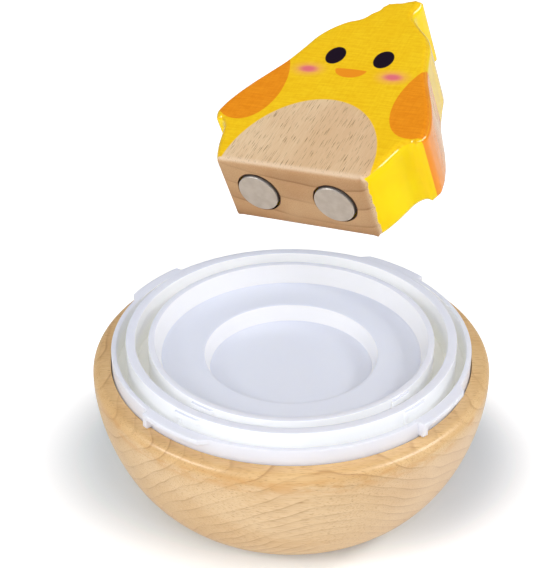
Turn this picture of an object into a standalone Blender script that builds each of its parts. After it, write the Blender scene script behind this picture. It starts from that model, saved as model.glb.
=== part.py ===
"""A stacking toy: a turned wooden bowl with a moulded ring tray, and a shaped wooden chick.

The origin is the middle of the bowl's flat foot, with +Z up and the viewer on the -Y side.
The chick is held in the air above the tray, leaning back, as it is when it is being put in.
Its own frame has X to the right seen from its front, Y from front to back, and Z from foot to tuft.
"""

import math

import bmesh
import bpy
from mathutils import Euler, Matrix, Vector

MM = 0.001
GAP = 0.3 * MM  # between two pieces that touch
CUT_PAST = 1.0 * MM  # how far a cutter runs out of what it cuts

# The wooden bowl
BOWL_HEIGHT = 48.6 * MM
BOWL_RADIUS = 60.8 * MM
FOOT_RADIUS = 24.9 * MM
BOWL_BAND = 2.0 * MM  # the upright stretch at its widest
BOWL_SHOULDER = 2.6 * MM
RIM_FALL = 0.3 * MM
BOWL_DEPTH_POWER = 1.6  # the side is a superellipse with these two powers
BOWL_WIDTH_POWER = 2.5
CAVITY_MARGIN = 5.6 * MM  # round the tray's recess
CAVITY_ROOM = 4.4 * MM  # under the magnets' cover

# The ring tray, from its edge inwards. Its tops are measured from the outer ring's top
TRAY_MARGIN = 5.8 * MM  # from the tray's edge out to the bowl's widest
OUTER_RING_STANDS = 4.9 * MM  # above the bowl's rim
OUTER_RING_WALL = 1.6 * MM
OUTER_GROOVE = 2.9 * MM
MIDDLE_RING_WALL = 2.9 * MM
MIDDLE_RING_RISE = 2.6 * MM
INNER_GROOVE = 3.9 * MM
INNER_RING_WALL = 2.0 * MM
INNER_RING_RISE = 1.8 * MM
WELL_SLOPE = 1.8 * MM  # how far the inner ring's foot comes in over the well's floor
WELL_DROP = 4.15 * MM
GROOVE_DROP = 8.0 * MM
SHELL = 2.0 * MM  # the moulding's floors
RING_EDGE = 0.4 * MM
RECESS_CLEARANCE = 2.0 * MM  # round the chick's foot
RECESS_FLARE = 1.3 * MM
RECESS_DEPTH = 5.15 * MM
RECESS_LIP = 0.5 * MM

# The lugs that the stacking shells turn under
LUG_DEPTH = 1.7 * MM
POST_ANGLE = math.radians(2)
LUG_BITE = 1.0 * MM  # how far a lug runs into its ring wall
POST_INSET = 0.06 * MM  # of a lug's post behind the faces of its overhang
OUTER_LUG_REACH = 2.0 * MM
OUTER_LUG_DROP = 0.2 * MM
OUTER_LUG_START = math.radians(41.5)
OUTER_LUG_SPAN = math.radians(21)
OUTER_LUG_TAPER = math.radians(3)
OUTER_LUGS = 4
INNER_LUG_REACH = 0.8 * MM
INNER_LUG_DROP = 0.8 * MM
INNER_LUG_SPAN = math.radians(9)
INNER_LUG_TAPER = math.radians(1.2)
MIDDLE_RING_LUGS = [math.radians(a) for a in (49.5, 129.5, 229.5, 309.5)]
INNER_RING_LUGS = [math.radians(a) for a in (49.5, 131.5, 229.5, 311.5)]

# The magnets under the recess, their cover and the screws
MAGNET_RADIUS = 6.0 * MM
MAGNET_THICKNESS = 4.0 * MM
MAGNET_SPREAD = 11.0 * MM  # from the middle, and the same on the chick's foot
POCKET_WALL = 1.5 * MM
COVER_THICKNESS = 2.0 * MM
COVER_SCREW_SPREAD = 9.0 * MM
COVER_SCREW_RADIUS = 1.4 * MM
COVER_SCREW_LENGTH = 5.0 * MM
COVER_BOSS_RADIUS = 3.0 * MM
TRAY_SCREW_SPREAD = 18.0 * MM
TRAY_SCREW_RADIUS = 2.0 * MM
TRAY_SCREW_LENGTH = 28.0 * MM
TRAY_BOSS_RADIUS = 3.8 * MM
SCREW_HEAD_WIDTH = 1.9  # of the thread's, and its height of the thread's radius
SCREW_HEAD_HEIGHT = 1.3
COUNTERBORE_RADIUS = 4.3 * MM
SCREW_TIP_ROOM = 2.2 * MM  # between a tray screw's tip and the end of its hole

# The chick
CHICK_THICKNESS = 20.0 * MM
CHICK_FOOT_HALF = 20.8 * MM
CHICK_EDGE = 1.8 * MM
ARMPIT_REACH = 25.7 * MM
ARMPIT_HEIGHT = 12.8 * MM
WING_REACH = 30.3 * MM
WING_HEIGHT = 17.3 * MM  # of the wing's tip
WING_THICKNESS = 2.65 * MM  # from the tip down to the wing's underside
WING_BOW = 1.3 * MM  # how far its outer edge is arched
NECK_REACH = 21.0 * MM
NECK_HEIGHT = 39.3 * MM
HEAD_RADIUS = 18.7 * MM
HEAD_HEIGHT = 42.5 * MM
TUFT_ASIDE = 1.8 * MM
TUFT_HALF = 5.6 * MM
TUFT_SUNK = 0.3 * MM  # its root under the head's top
TUFT_HEIGHT = 7.7 * MM
DISC_RADIUS = 5.5 * MM
DISC_THICKNESS = 4.0 * MM
DISC_PROUD = 0.5 * MM
DISC_CLEARANCE = 0.45 * MM
DISC_MIDDLE = Vector((0.0, -0.25 * MM))  # of the pair, from the foot's middle

# How the chick is held: its foot's middle over the bowl's middle, and how it is turned
HELD_ASIDE = Vector((1.16 * MM, -57.3 * MM))
HELD_LIFT = 85.1 * MM  # above the well's floor
HELD_TURN = Euler([math.radians(a) for a in (-71.4, -7.3, -30.1)])
STANDING_CLEARANCE = 0.5 * MM  # upright over the recess, above the well's floor

# Faceting
TURNED_STEPS = 72
SMALL_STEPS = 20
BOWL_POINTS = 12
CURVE_STEPS = 4
EDGE_STEPS = 2

TRAY_RADIUS = BOWL_RADIUS - TRAY_MARGIN
MIDDLE_RING_RADIUS = TRAY_RADIUS - OUTER_RING_WALL - OUTER_GROOVE
INNER_RING_RADIUS = MIDDLE_RING_RADIUS - MIDDLE_RING_WALL - INNER_GROOVE
WELL_RADIUS = INNER_RING_RADIUS - INNER_RING_WALL - WELL_SLOPE
RECESS_RADIUS = math.hypot(CHICK_FOOT_HALF, CHICK_THICKNESS / 2) + RECESS_CLEARANCE
RECESS_MOUTH = RECESS_RADIUS + RECESS_FLARE
CAVITY_RADIUS = RECESS_MOUTH + SHELL + CAVITY_MARGIN

RING_TOP = BOWL_HEIGHT + OUTER_RING_STANDS
WELL_FLOOR = RING_TOP - WELL_DROP
GROOVE_FLOOR = RING_TOP - GROOVE_DROP
DECK_UNDER = GROOVE_FLOOR - SHELL
LEDGE = DECK_UNDER - GAP
RECESS_FLOOR = WELL_FLOOR - RECESS_DEPTH
RECESS_UNDER = RECESS_FLOOR - SHELL
MAGNET_TOP = RECESS_UNDER
POCKET_END = MAGNET_TOP - MAGNET_THICKNESS
COVER_TOP = POCKET_END - GAP
COVER_UNDER = COVER_TOP - COVER_THICKNESS
CAVITY_FLOOR = COVER_UNDER - CAVITY_ROOM
COUNTERBORE_DEPTH = RECESS_UNDER - SCREW_TIP_ROOM - TRAY_SCREW_LENGTH
POCKET_RADIUS = MAGNET_RADIUS + GAP


def clear_scene():
    for old in list(bpy.data.objects):
        bpy.data.objects.remove(old, do_unlink=True)


def new_collection(name):
    collection = bpy.data.collections.new(name)
    bpy.context.scene.collection.children.link(collection)
    return collection


def finish(name, colour, roughness, metallic=0.0):
    """A Principled material."""
    material = bpy.data.materials.new(name)
    material.use_nodes = True
    shader = material.node_tree.nodes["Principled BSDF"]
    shader.inputs["Base Color"].default_value = (*colour, 1.0)
    shader.inputs["Roughness"].default_value = roughness
    shader.inputs["Metallic"].default_value = metallic
    return material


def add_object(name, mesh, collection, material=None):
    obj = bpy.data.objects.new(name, mesh)
    collection.objects.link(obj)
    if material:
        mesh.materials.append(material)
    if collection == cutters:
        obj.hide_render = True
        obj.display_type = "WIRE"
    return obj


def shade(obj):
    """Smooth shading, but for the edges of flat faces."""
    obj.data.shade_smooth()
    obj.data.set_sharp_from_angle(angle=math.radians(35))


def turned(name, profile, collection, material=None, steps=TURNED_STEPS):
    """A profile of (radius, height) points, from the axis at the top round to the axis below."""
    mesh = bpy.data.meshes.new(name)
    points = [(radius, 0.0, height) for radius, height in profile]
    mesh.from_pydata(points, [(i, i + 1) for i in range(len(points) - 1)], [])
    obj = add_object(name, mesh, collection, material)
    screw = obj.modifiers.new("turn", "SCREW")
    screw.steps = steps
    screw.render_steps = steps
    screw.use_merge_vertices = True
    screw.merge_threshold = 0.00001
    screw.use_smooth_shade = True
    return obj


def as_mesh(obj):
    """The mesh of an object as its modifiers leave it, with its doubles merged."""
    bpy.context.view_layer.update()
    graph = bpy.context.evaluated_depsgraph_get()
    mesh = bpy.data.meshes.new_from_object(obj.evaluated_get(graph))
    work = bmesh.new()
    work.from_mesh(mesh)
    bmesh.ops.remove_doubles(work, verts=work.verts, dist=0.000002)
    bmesh.ops.recalc_face_normals(work, faces=work.faces)
    work.to_mesh(mesh)
    work.free()
    return mesh


def flat_outline(name, points, bottom, top, collection, material=None):
    """A closed outline in the XY plane, filled from one height to the other."""
    curve = bpy.data.curves.new(name, "CURVE")
    curve.dimensions = "2D"
    curve.fill_mode = "BOTH"
    curve.extrude = (top - bottom) / 2
    spline = curve.splines.new("POLY")
    spline.points.add(len(points) - 1)
    for knot, (x, y) in zip(spline.points, points):
        knot.co = (x, y, 0.0, 1.0)
    spline.use_cyclic_u = True
    drawn = bpy.data.objects.new(name + "_outline", curve)
    collection.objects.link(drawn)
    drawn.location.z = (top + bottom) / 2
    mesh = as_mesh(drawn)
    mesh.transform(drawn.matrix_world)
    bpy.data.objects.remove(drawn)
    return add_object(name, mesh, collection, material)


def smooth_line(knots):
    """A closed line through (x, y, is_corner) knots, round at all but the corners."""
    places = [Vector(knot[:2]) for knot in knots]
    count = len(places)
    line = []
    for i in range(count):
        here, there = places[i], places[(i + 1) % count]
        if knots[i][2] and knots[(i + 1) % count][2]:
            line.append(here)
            continue
        length = (there - here).length
        leaving = slope(places, knots, i) * length
        arriving = slope(places, knots, (i + 1) % count) * length
        if knots[i][2]:
            leaving = (there - here) * 1.5 - arriving / 2
        if knots[(i + 1) % count][2]:
            arriving = (there - here) * 1.5 - leaving / 2
        for step in range(CURVE_STEPS):
            t = step / CURVE_STEPS
            line.append(
                here * (2 * t**3 - 3 * t**2 + 1)
                + leaving * (t**3 - 2 * t**2 + t)
                + there * (3 * t**2 - 2 * t**3)
                + arriving * (t**3 - t**2)
            )
    return line


def slope(places, knots, i):
    """The line's direction at a knot, from the knots on both sides of it."""
    before = places[i] - places[i - 1]
    after = places[(i + 1) % len(places)] - places[i]
    weighted = before / before.length**2 + after / after.length**2
    return weighted.normalized()


def inset_line(line, depth):
    """The closed line moved inwards, with its corners kept square to both sides."""
    count = len(line)
    moved = []
    for i in range(count):
        before = (line[i] - line[i - 1]).normalized()
        after = (line[(i + 1) % count] - line[i]).normalized()
        inwards = Vector((-before.y - after.y, before.x + after.x)).normalized()
        square = Vector((-before.y, before.x)).dot(inwards)
        moved.append(line[i] + inwards * depth / max(square, 0.5))
    return moved


def eased_block(name, line, thickness, edge, steps, collection, material):
    """A block of one outline with rounded edges, front at -thickness/2 in Y and outline in XZ."""
    levels = []
    for i in range(steps + 1):
        turn = math.radians(90) * i / steps
        levels.append((edge * (1 - math.sin(turn)), thickness / 2 - edge * (1 - math.cos(turn))))
    levels = [(inset, -y) for inset, y in levels] + [(inset, y) for inset, y in reversed(levels)]
    shape = bmesh.new()
    rings = []
    for inset, y in sorted(levels, key=lambda level: level[1]):
        rings.append([shape.verts.new((p.x, y, p.y)) for p in inset_line(line, inset)])
    for near, far in zip(rings, rings[1:]):
        for i in range(len(line)):
            shape.faces.new((near[i - 1], near[i], far[i], far[i - 1]))
    shape.faces.new(rings[0])
    shape.faces.new(rings[-1])
    bmesh.ops.recalc_face_normals(shape, faces=shape.faces)
    mesh = bpy.data.meshes.new(name)
    shape.to_mesh(mesh)
    shape.free()
    obj = add_object(name, mesh, collection, material)
    shade(obj)
    return obj


def several(name, sources, collection):
    """One mesh with a copy of each source at each of its places. The sources are removed."""
    copies = bmesh.new()
    for source, places in sources:
        mesh = as_mesh(source)
        for place in places:
            placed = mesh.copy()
            placed.transform(place)
            copies.from_mesh(placed)
            bpy.data.meshes.remove(placed)
        bpy.data.objects.remove(source)
    joined = bpy.data.meshes.new(name)
    copies.to_mesh(joined)
    copies.free()
    return add_object(name, joined, collection)


def boolean(obj, other, operation, solver="EXACT"):
    change = obj.modifiers.new(other.name, "BOOLEAN")
    change.operation = operation
    change.object = other
    change.solver = solver


def round_bar(radius, top, bottom):
    """The profile of an upright cylinder."""
    return [(0.0, top), (radius, top), (radius, bottom), (0.0, bottom)]


def polar(radius, angle):
    return Vector((radius * math.cos(angle), radius * math.sin(angle), 0.0))


def turn_about_z(angle):
    return Matrix.Rotation(angle, 4, "Z")


# The chick swings on one stand-in axis, from being held to standing upright over the recess.
# A single turn does that only where the chick stands at one angle in the recess, found here.


def swing(stand_angle):
    """The axis, the angle and the offset along the axis that lead from standing to held."""
    turn = held_matrix().to_3x3() @ turn_about_z(stand_angle).to_3x3().transposed()
    axis, angle = turn.to_quaternion().to_axis_angle()
    return axis, angle, (held_foot() - standing_foot()).dot(axis)


def held_foot():
    return Vector((HELD_ASIDE.x, HELD_ASIDE.y, WELL_FLOOR + HELD_LIFT))


def standing_foot():
    return Vector((0.0, 0.0, WELL_FLOOR + STANDING_CLEARANCE))


def held_matrix():
    return Matrix.Translation(held_foot()) @ HELD_TURN.to_matrix().to_4x4()


def find_stand_angle():
    """The angle about the upright axis at which the swing has no slide along its axis."""
    low, high = math.radians(-100), math.radians(10)
    at_low = swing(low)[2]
    for _ in range(40):
        middle = (low + high) / 2
        at_middle = swing(middle)[2]
        if (at_middle > 0) == (at_low > 0):
            low = middle
        else:
            high = middle
    return (low + high) / 2


def swing_centre(stand_angle):
    """The point of the swing's axis that lies level with the path's ends."""
    axis, angle, _ = swing(stand_angle)
    path = held_foot() - standing_foot()
    return (held_foot() + standing_foot()) / 2 + axis.cross(path) / (2 * math.tan(angle / 2))


def bowl_profile():
    """The pocket from its middle outwards, the rim, and the rounded side down to the foot."""
    pocket = TRAY_RADIUS + GAP
    points = [
        (0.0, CAVITY_FLOOR),
        (CAVITY_RADIUS, CAVITY_FLOOR),
        (CAVITY_RADIUS, LEDGE),
        (pocket, LEDGE),
        (pocket, BOWL_HEIGHT - RIM_FALL),
        (pocket + RIM_FALL, BOWL_HEIGHT),
    ]
    shoulder_top = BOWL_HEIGHT - RIM_FALL
    for i in range(5):
        turn = math.radians(90 - 22.5 * i)
        points.append(
            (
                BOWL_RADIUS - BOWL_SHOULDER * (1 - math.cos(turn)),
                shoulder_top - BOWL_SHOULDER * (1 - math.sin(turn)),
            )
        )
    side = shoulder_top - BOWL_SHOULDER - BOWL_BAND
    for i in range(BOWL_POINTS + 1):
        turn = math.radians(90) * i / BOWL_POINTS
        reach = math.cos(turn) ** (2 / BOWL_WIDTH_POWER)
        drop = math.sin(turn) ** (2 / BOWL_DEPTH_POWER)
        if i == BOWL_POINTS:
            reach = 0.0
        points.append((FOOT_RADIUS + (BOWL_RADIUS - FOOT_RADIUS) * reach, side * (1 - drop)))
    points.append((0.0, 0.0))
    return points


def make_bowl(stand_angle):
    bowl = turned("wood_bowl", bowl_profile(), toy, wood)
    screw_way = TRAY_SCREW_RADIUS + GAP
    hole = turned(
        "screw_hole",
        [
            (0.0, CAVITY_FLOOR + CUT_PAST),
            (screw_way, CAVITY_FLOOR + CUT_PAST),
            (screw_way, COUNTERBORE_DEPTH),
            (COUNTERBORE_RADIUS, COUNTERBORE_DEPTH),
            (COUNTERBORE_RADIUS, -CUT_PAST),
            (0.0, -CUT_PAST),
        ],
        cutters,
        steps=SMALL_STEPS,
    )
    places = [Matrix.Translation(place) for place in tray_screw_places(stand_angle)]
    boolean(bowl, several("screw_holes", [(hole, places)], cutters), "DIFFERENCE")


def tray_screw_places(stand_angle):
    return [
        polar(TRAY_SCREW_SPREAD, stand_angle + math.radians(a)) for a in (60, 120, 240, 300)
    ]


def cover_screw_places(stand_angle):
    return [polar(COVER_SCREW_SPREAD, stand_angle + math.radians(a)) for a in (90, 270)]


def magnet_places(stand_angle):
    return [polar(MAGNET_SPREAD, stand_angle + math.radians(a)) for a in (180, 0)]


def ring_wall(outer, wall, top):
    """A ring wall's upper end, from its inner face over to its outer face, with eased edges."""
    inner = outer - wall
    return [
        (inner, top - RING_EDGE),
        (inner + RING_EDGE, top),
        (outer - RING_EDGE, top),
        (outer, top - RING_EDGE),
    ]


def tray_profile():
    """The tray's upper side from the middle of the recess outwards, then its underside back."""
    middle_inner = MIDDLE_RING_RADIUS - MIDDLE_RING_WALL
    outer_inner = TRAY_RADIUS - OUTER_RING_WALL
    step_in = INNER_RING_RADIUS - INNER_RING_WALL
    cup = RECESS_MOUTH + SHELL
    return (
        [
            (0.0, RECESS_FLOOR),
            (RECESS_RADIUS, RECESS_FLOOR),
            (RECESS_MOUTH, WELL_FLOOR - RECESS_LIP),
            (RECESS_MOUTH + RECESS_LIP, WELL_FLOOR),
            (WELL_RADIUS, WELL_FLOOR),
        ]
        + ring_wall(INNER_RING_RADIUS, INNER_RING_WALL, RING_TOP + INNER_RING_RISE)
        + [(INNER_RING_RADIUS, GROOVE_FLOOR), (middle_inner, GROOVE_FLOOR)]
        + ring_wall(MIDDLE_RING_RADIUS, MIDDLE_RING_WALL, RING_TOP + MIDDLE_RING_RISE)
        + [(MIDDLE_RING_RADIUS, GROOVE_FLOOR), (outer_inner, GROOVE_FLOOR)]
        + ring_wall(TRAY_RADIUS, OUTER_RING_WALL, RING_TOP)
        + [
            (TRAY_RADIUS, DECK_UNDER),
            (step_in, DECK_UNDER),
            (step_in, WELL_FLOOR - SHELL),
            (cup, WELL_FLOOR - SHELL),
            (cup - (RECESS_MOUTH - RECESS_RADIUS), RECESS_UNDER),
            (0.0, RECESS_UNDER),
        ]
    )


def arc(radius, start, end, steps):
    return [polar(radius, start + (end - start) * i / steps).xy for i in range(steps + 1)]


def lug_flange(ring_radius, reach, span, taper, top):
    """The overhanging part of a lug, which tapers into the ring at its far end."""
    outside = arc(ring_radius + reach, 0.0, span, 6)
    inside = arc(ring_radius - LUG_BITE, span + taper, 0.0, 6)
    return flat_outline("flange", outside + inside, top - LUG_DEPTH, top, cutters)


def lug_post(ring_radius, reach, top, bottom):
    """The stop at a lug's near end, set in a little from the flange's faces."""
    inset = POST_INSET / ring_radius
    outside = arc(ring_radius + reach - POST_INSET, inset, POST_ANGLE, 2)
    inside = arc(ring_radius - LUG_BITE + POST_INSET, POST_ANGLE, inset, 2)
    return flat_outline("post", outside + inside, bottom, top - LUG_DEPTH / 2, cutters)


def make_tray(stand_angle):
    tray = turned("ring_tray", tray_profile(), toy, tray_plastic)
    outer_starts = [OUTER_LUG_START + math.tau * i / OUTER_LUGS for i in range(OUTER_LUGS)]
    outer = (OUTER_LUG_REACH, OUTER_LUG_SPAN, OUTER_LUG_TAPER)
    inner = (INNER_LUG_REACH, INNER_LUG_SPAN, INNER_LUG_TAPER)
    groove_foot = GROOVE_FLOOR - SHELL / 2
    outer_top = RING_TOP - OUTER_LUG_DROP
    middle_top = RING_TOP + MIDDLE_RING_RISE - INNER_LUG_DROP
    inner_top = RING_TOP + INNER_RING_RISE - INNER_LUG_DROP
    flanges = []
    posts = []
    # Each ring's lug is made at angle 0 and copied round to its starts
    for radius, starts, (reach, span, taper), top, bottom in (
        (TRAY_RADIUS, outer_starts, outer, outer_top, BOWL_HEIGHT + GAP),
        (MIDDLE_RING_RADIUS, MIDDLE_RING_LUGS, inner, middle_top, groove_foot),
        (INNER_RING_RADIUS, INNER_RING_LUGS, inner, inner_top, groove_foot),
    ):
        places = [turn_about_z(start) for start in starts]
        flanges.append((lug_flange(radius, reach, span, taper, top), places))
        posts.append((lug_post(radius, reach, top, bottom), places))
    boolean(tray, several("lug_flanges", flanges, cutters), "UNION")
    boolean(tray, several("lug_posts", posts, cutters), "UNION")
    add_underside(tray, stand_angle)


def add_underside(tray, stand_angle):
    """The magnets' pockets and the screws' bosses, moulded under the recess."""
    posts = []
    holes = []
    for outer, bore, top, bottom, spots in (
        (
            POCKET_RADIUS + POCKET_WALL,
            POCKET_RADIUS,
            MAGNET_TOP + GAP,
            POCKET_END,
            magnet_places(stand_angle),
        ),
        (
            COVER_BOSS_RADIUS,
            COVER_SCREW_RADIUS + GAP,
            RECESS_UNDER - GAP,
            POCKET_END,
            cover_screw_places(stand_angle),
        ),
        (
            TRAY_BOSS_RADIUS,
            TRAY_SCREW_RADIUS + GAP,
            RECESS_UNDER - GAP,
            CAVITY_FLOOR + GAP,
            tray_screw_places(stand_angle),
        ),
    ):
        places = [Matrix.Translation(spot) for spot in spots]
        root = RECESS_UNDER + SHELL / 2
        post = turned("post", round_bar(outer, root, bottom), cutters, steps=SMALL_STEPS)
        hole = turned("hole", round_bar(bore, top, bottom - CUT_PAST), cutters, steps=SMALL_STEPS)
        posts.append((post, places))
        holes.append((hole, places))
    boolean(tray, several("underside_posts", posts, cutters), "UNION")
    boolean(tray, several("underside_holes", holes, cutters), "DIFFERENCE")


def make_magnets(stand_angle):
    for side, place in zip(("left", "right"), magnet_places(stand_angle)):
        magnet = turned(
            "base_magnet_" + side,
            round_bar(MAGNET_RADIUS, MAGNET_TOP, POCKET_END),
            toy,
            nickel,
            SMALL_STEPS,
        )
        magnet.location = place


def make_cover(stand_angle):
    """A plate under both pockets, with an ear each side for its screws."""
    cover = flat_outline(
        "magnet_cover", cover_outline(), COVER_UNDER, COVER_TOP, toy, cover_plastic
    )
    cover.data.transform(turn_about_z(stand_angle))
    hole = turned(
        "hole",
        round_bar(COVER_SCREW_RADIUS + GAP, COVER_TOP + CUT_PAST, COVER_UNDER - CUT_PAST),
        cutters,
        steps=SMALL_STEPS,
    )
    places = [Matrix.Translation(place) for place in cover_screw_places(stand_angle)]
    holes = several("cover_holes", [(hole, places)], cutters)
    boolean(cover, holes, "DIFFERENCE", "MANIFOLD")


def cover_outline():
    """Two crossing strips with round ends: a wide one over the magnets, a narrow one for screws."""
    wide = POCKET_RADIUS + POCKET_WALL
    narrow = COVER_BOSS_RADIUS
    quarter = math.radians(90)
    right = [p + Vector((MAGNET_SPREAD, 0.0)) for p in arc(wide, -quarter, quarter, 12)]
    upper = [p + Vector((0.0, COVER_SCREW_SPREAD)) for p in arc(narrow, 0.0, 2 * quarter, 8)]
    half = right + [Vector((narrow, wide))] + upper + [Vector((-narrow, wide))]
    return half + [-point for point in half]


def screw_profile(radius, length):
    """A screw that points up, with its head's underside at height 0."""
    head_radius = radius * SCREW_HEAD_WIDTH
    head_height = radius * SCREW_HEAD_HEIGHT
    return [
        (0.0, length),
        (radius * 0.35, length),
        (radius, length - radius * 1.6),
        (radius, 0.0),
        (head_radius, 0.0),
        (head_radius, -head_height * 0.45),
        (head_radius * 0.82, -head_height * 0.85),
        (head_radius * 0.5, -head_height),
        (0.0, -head_height),
    ]


def make_screws(stand_angle):
    for name, places, radius, length, seat in (
        (
            "cover_screw_",
            cover_screw_places(stand_angle),
            COVER_SCREW_RADIUS,
            COVER_SCREW_LENGTH,
            COVER_UNDER - GAP,
        ),
        (
            "tray_screw_",
            tray_screw_places(stand_angle),
            TRAY_SCREW_RADIUS,
            TRAY_SCREW_LENGTH,
            COUNTERBORE_DEPTH - GAP,
        ),
    ):
        profile = screw_profile(radius, length)
        for letter, place in zip("abcd", places):
            screw = turned(name + letter, profile, toy, steel, SMALL_STEPS)
            screw.location = place + Vector((0.0, 0.0, seat))


def chick_outline():
    """The chick's outline round from the foot's right corner, as (x, z, is_corner) knots."""
    foot = Vector((CHICK_FOOT_HALF, 0.0))
    armpit = Vector((ARMPIT_REACH, ARMPIT_HEIGHT))
    tip = Vector((WING_REACH, WING_HEIGHT))
    neck = Vector((NECK_REACH, NECK_HEIGHT))
    round_end = [
        foot + Vector((CHICK_EDGE * -0.17, CHICK_EDGE * 0.18)),
        foot + Vector((CHICK_EDGE * 0.3, CHICK_EDGE * 0.7)),
    ]
    flank = [
        foot.lerp(armpit, 0.4) + Vector((CHICK_EDGE * 0.27, 0.0)),
        foot.lerp(armpit, 0.77) + Vector((CHICK_EDGE * 0.1, 0.0)),
        armpit,
    ]
    wing = [
        Vector((armpit.x + (tip.x - armpit.x) * 0.34, tip.y - WING_THICKNESS)),
        Vector((armpit.x + (tip.x - armpit.x) * 0.7, tip.y - WING_THICKNESS * 0.83)),
        tip,
    ]
    arch = ((0.11, 0.66), (0.28, 1.0), (0.54, 0.88), (0.8, 0.38))
    wing += [beside(tip, neck, share, WING_BOW * height) for share, height in arch] + [neck]
    side = [(p.x, p.y, False) for p in round_end + flank + wing]
    side.insert(0, (CHICK_FOOT_HALF - CHICK_EDGE, 0.0, True))
    head_right = [head_point(angle) for angle in range(12, 56, 14)]
    head_left = [head_point(angle) for angle in range(112, 170, 14)]
    other_side = [(-x, y, is_corner) for x, y, is_corner in reversed(side)]
    return side + head_right + tuft_knots() + head_left + other_side


def beside(start, end, share, distance):
    """A point part of the way from start to end, and that far to the right of the way."""
    along = end - start
    out = Vector((along.y, -along.x)).normalized()
    return start.lerp(end, share) + out * distance


def tuft_knots():
    """The leaf on the head: a narrow root, and a top with two lobes that leans to the right."""
    shares = (
        (1.25, -0.14),
        (1.01, 0.04),
        (0.92, 0.29),
        (1.0, 0.57),
        (0.98, 0.85),
        (0.6, 1.0),
        (0.21, 0.94),
        (-0.1, 0.84),
        (-0.43, 0.8),
        (-0.75, 0.71),
        (-0.95, 0.53),
        (-1.07, 0.32),
        (-1.3, 0.15),
    )
    root = HEAD_HEIGHT + HEAD_RADIUS - TUFT_SUNK
    return [
        (TUFT_ASIDE + TUFT_HALF * aside, root + TUFT_HEIGHT * up, False) for aside, up in shares
    ]


def head_point(degrees):
    around = polar(HEAD_RADIUS, math.radians(degrees))
    return (around.x, HEAD_HEIGHT + around.y, False)


def make_chick(pivot):
    """The wooden block, bored in its foot for the two discs."""
    line = smooth_line(chick_outline())
    chick = eased_block(
        "chick_body", line, CHICK_THICKNESS, CHICK_EDGE, EDGE_STEPS, toy, yellow_paint
    )
    pieces = [chick]
    bore = turned(
        "disc_bore",
        round_bar(DISC_RADIUS + DISC_CLEARANCE, DISC_THICKNESS - DISC_PROUD + GAP, -CUT_PAST),
        cutters,
        steps=SMALL_STEPS * 2,
    )
    spots = [
        DISC_MIDDLE.to_3d() + Vector((side * MAGNET_SPREAD, 0.0, 0.0)) for side in (-1, 1)
    ]
    places = [Matrix.Translation(spot) for spot in spots]
    bores = several("disc_bores", [(bore, places)], cutters)
    boolean(chick, bores, "DIFFERENCE")
    pieces.append(bores)
    for side, spot in zip(("left", "right"), spots):
        disc = turned(
            "chick_disc_" + side,
            round_bar(DISC_RADIUS, DISC_THICKNESS - DISC_PROUD, -DISC_PROUD),
            toy,
            steel,
            SMALL_STEPS * 2,
        )
        disc.location = spot
        pieces.append(disc)
    for piece in pieces:
        piece.parent = pivot


def make_pivot(stand_angle):
    """An empty on the swing's axis. Its children's own frame is the chick's."""
    pivot = bpy.data.objects.new("chick_swing", None)
    toy.objects.link(pivot)
    pivot.empty_display_size = BOWL_RADIUS / 4
    axis, angle, _ = swing(stand_angle)
    centre = swing_centre(stand_angle)
    pivot.matrix_world = Matrix.Translation(centre)
    frame = bpy.data.objects.new("chick_frame", None)
    toy.objects.link(frame)
    frame.empty_display_size = BOWL_RADIUS / 4
    frame.parent = pivot
    frame.matrix_local = Matrix.Translation(-centre) @ held_matrix()
    print("Swing axis", [round(v, 5) for v in axis], "centre in mm", [round(v / MM, 3) for v in centre])
    print("Swing angle in degrees", round(math.degrees(angle), 3))
    print("Stands in the recess turned by degrees", round(math.degrees(stand_angle), 3))
    return frame


clear_scene()
toy = new_collection("stacking_toy")
cutters = new_collection("cutters")
wood = finish("beech", (0.74, 0.52, 0.30), 0.45)
tray_plastic = finish("white_plastic", (0.88, 0.88, 0.90), 0.28)
cover_plastic = finish("grey_plastic", (0.45, 0.46, 0.48), 0.5)
yellow_paint = finish("yellow_paint", (0.93, 0.62, 0.02), 0.3)
steel = finish("zinc_plated_steel", (0.62, 0.61, 0.58), 0.35, 1.0)
nickel = finish("nickel_plate", (0.70, 0.68, 0.64), 0.22, 1.0)

angle_in_recess = find_stand_angle()
make_bowl(angle_in_recess)
make_tray(angle_in_recess)
make_magnets(angle_in_recess)
make_cover(angle_in_recess)
make_screws(angle_in_recess)
make_chick(make_pivot(angle_in_recess))
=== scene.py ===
"""The looks of a stacking toy: a turned beech bowl with a white ring tray, and a painted chick.

Everything is in metres, with the origin in the middle of the bowl's foot and the viewer on the
-Y side. The chick's own frame has X to the right seen from its front, Y from front to back and
Z from foot to tuft, with its origin in the middle of the foot's face.
"""

import math

import bmesh
import bpy
from mathutils import Euler, Matrix, Vector


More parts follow.
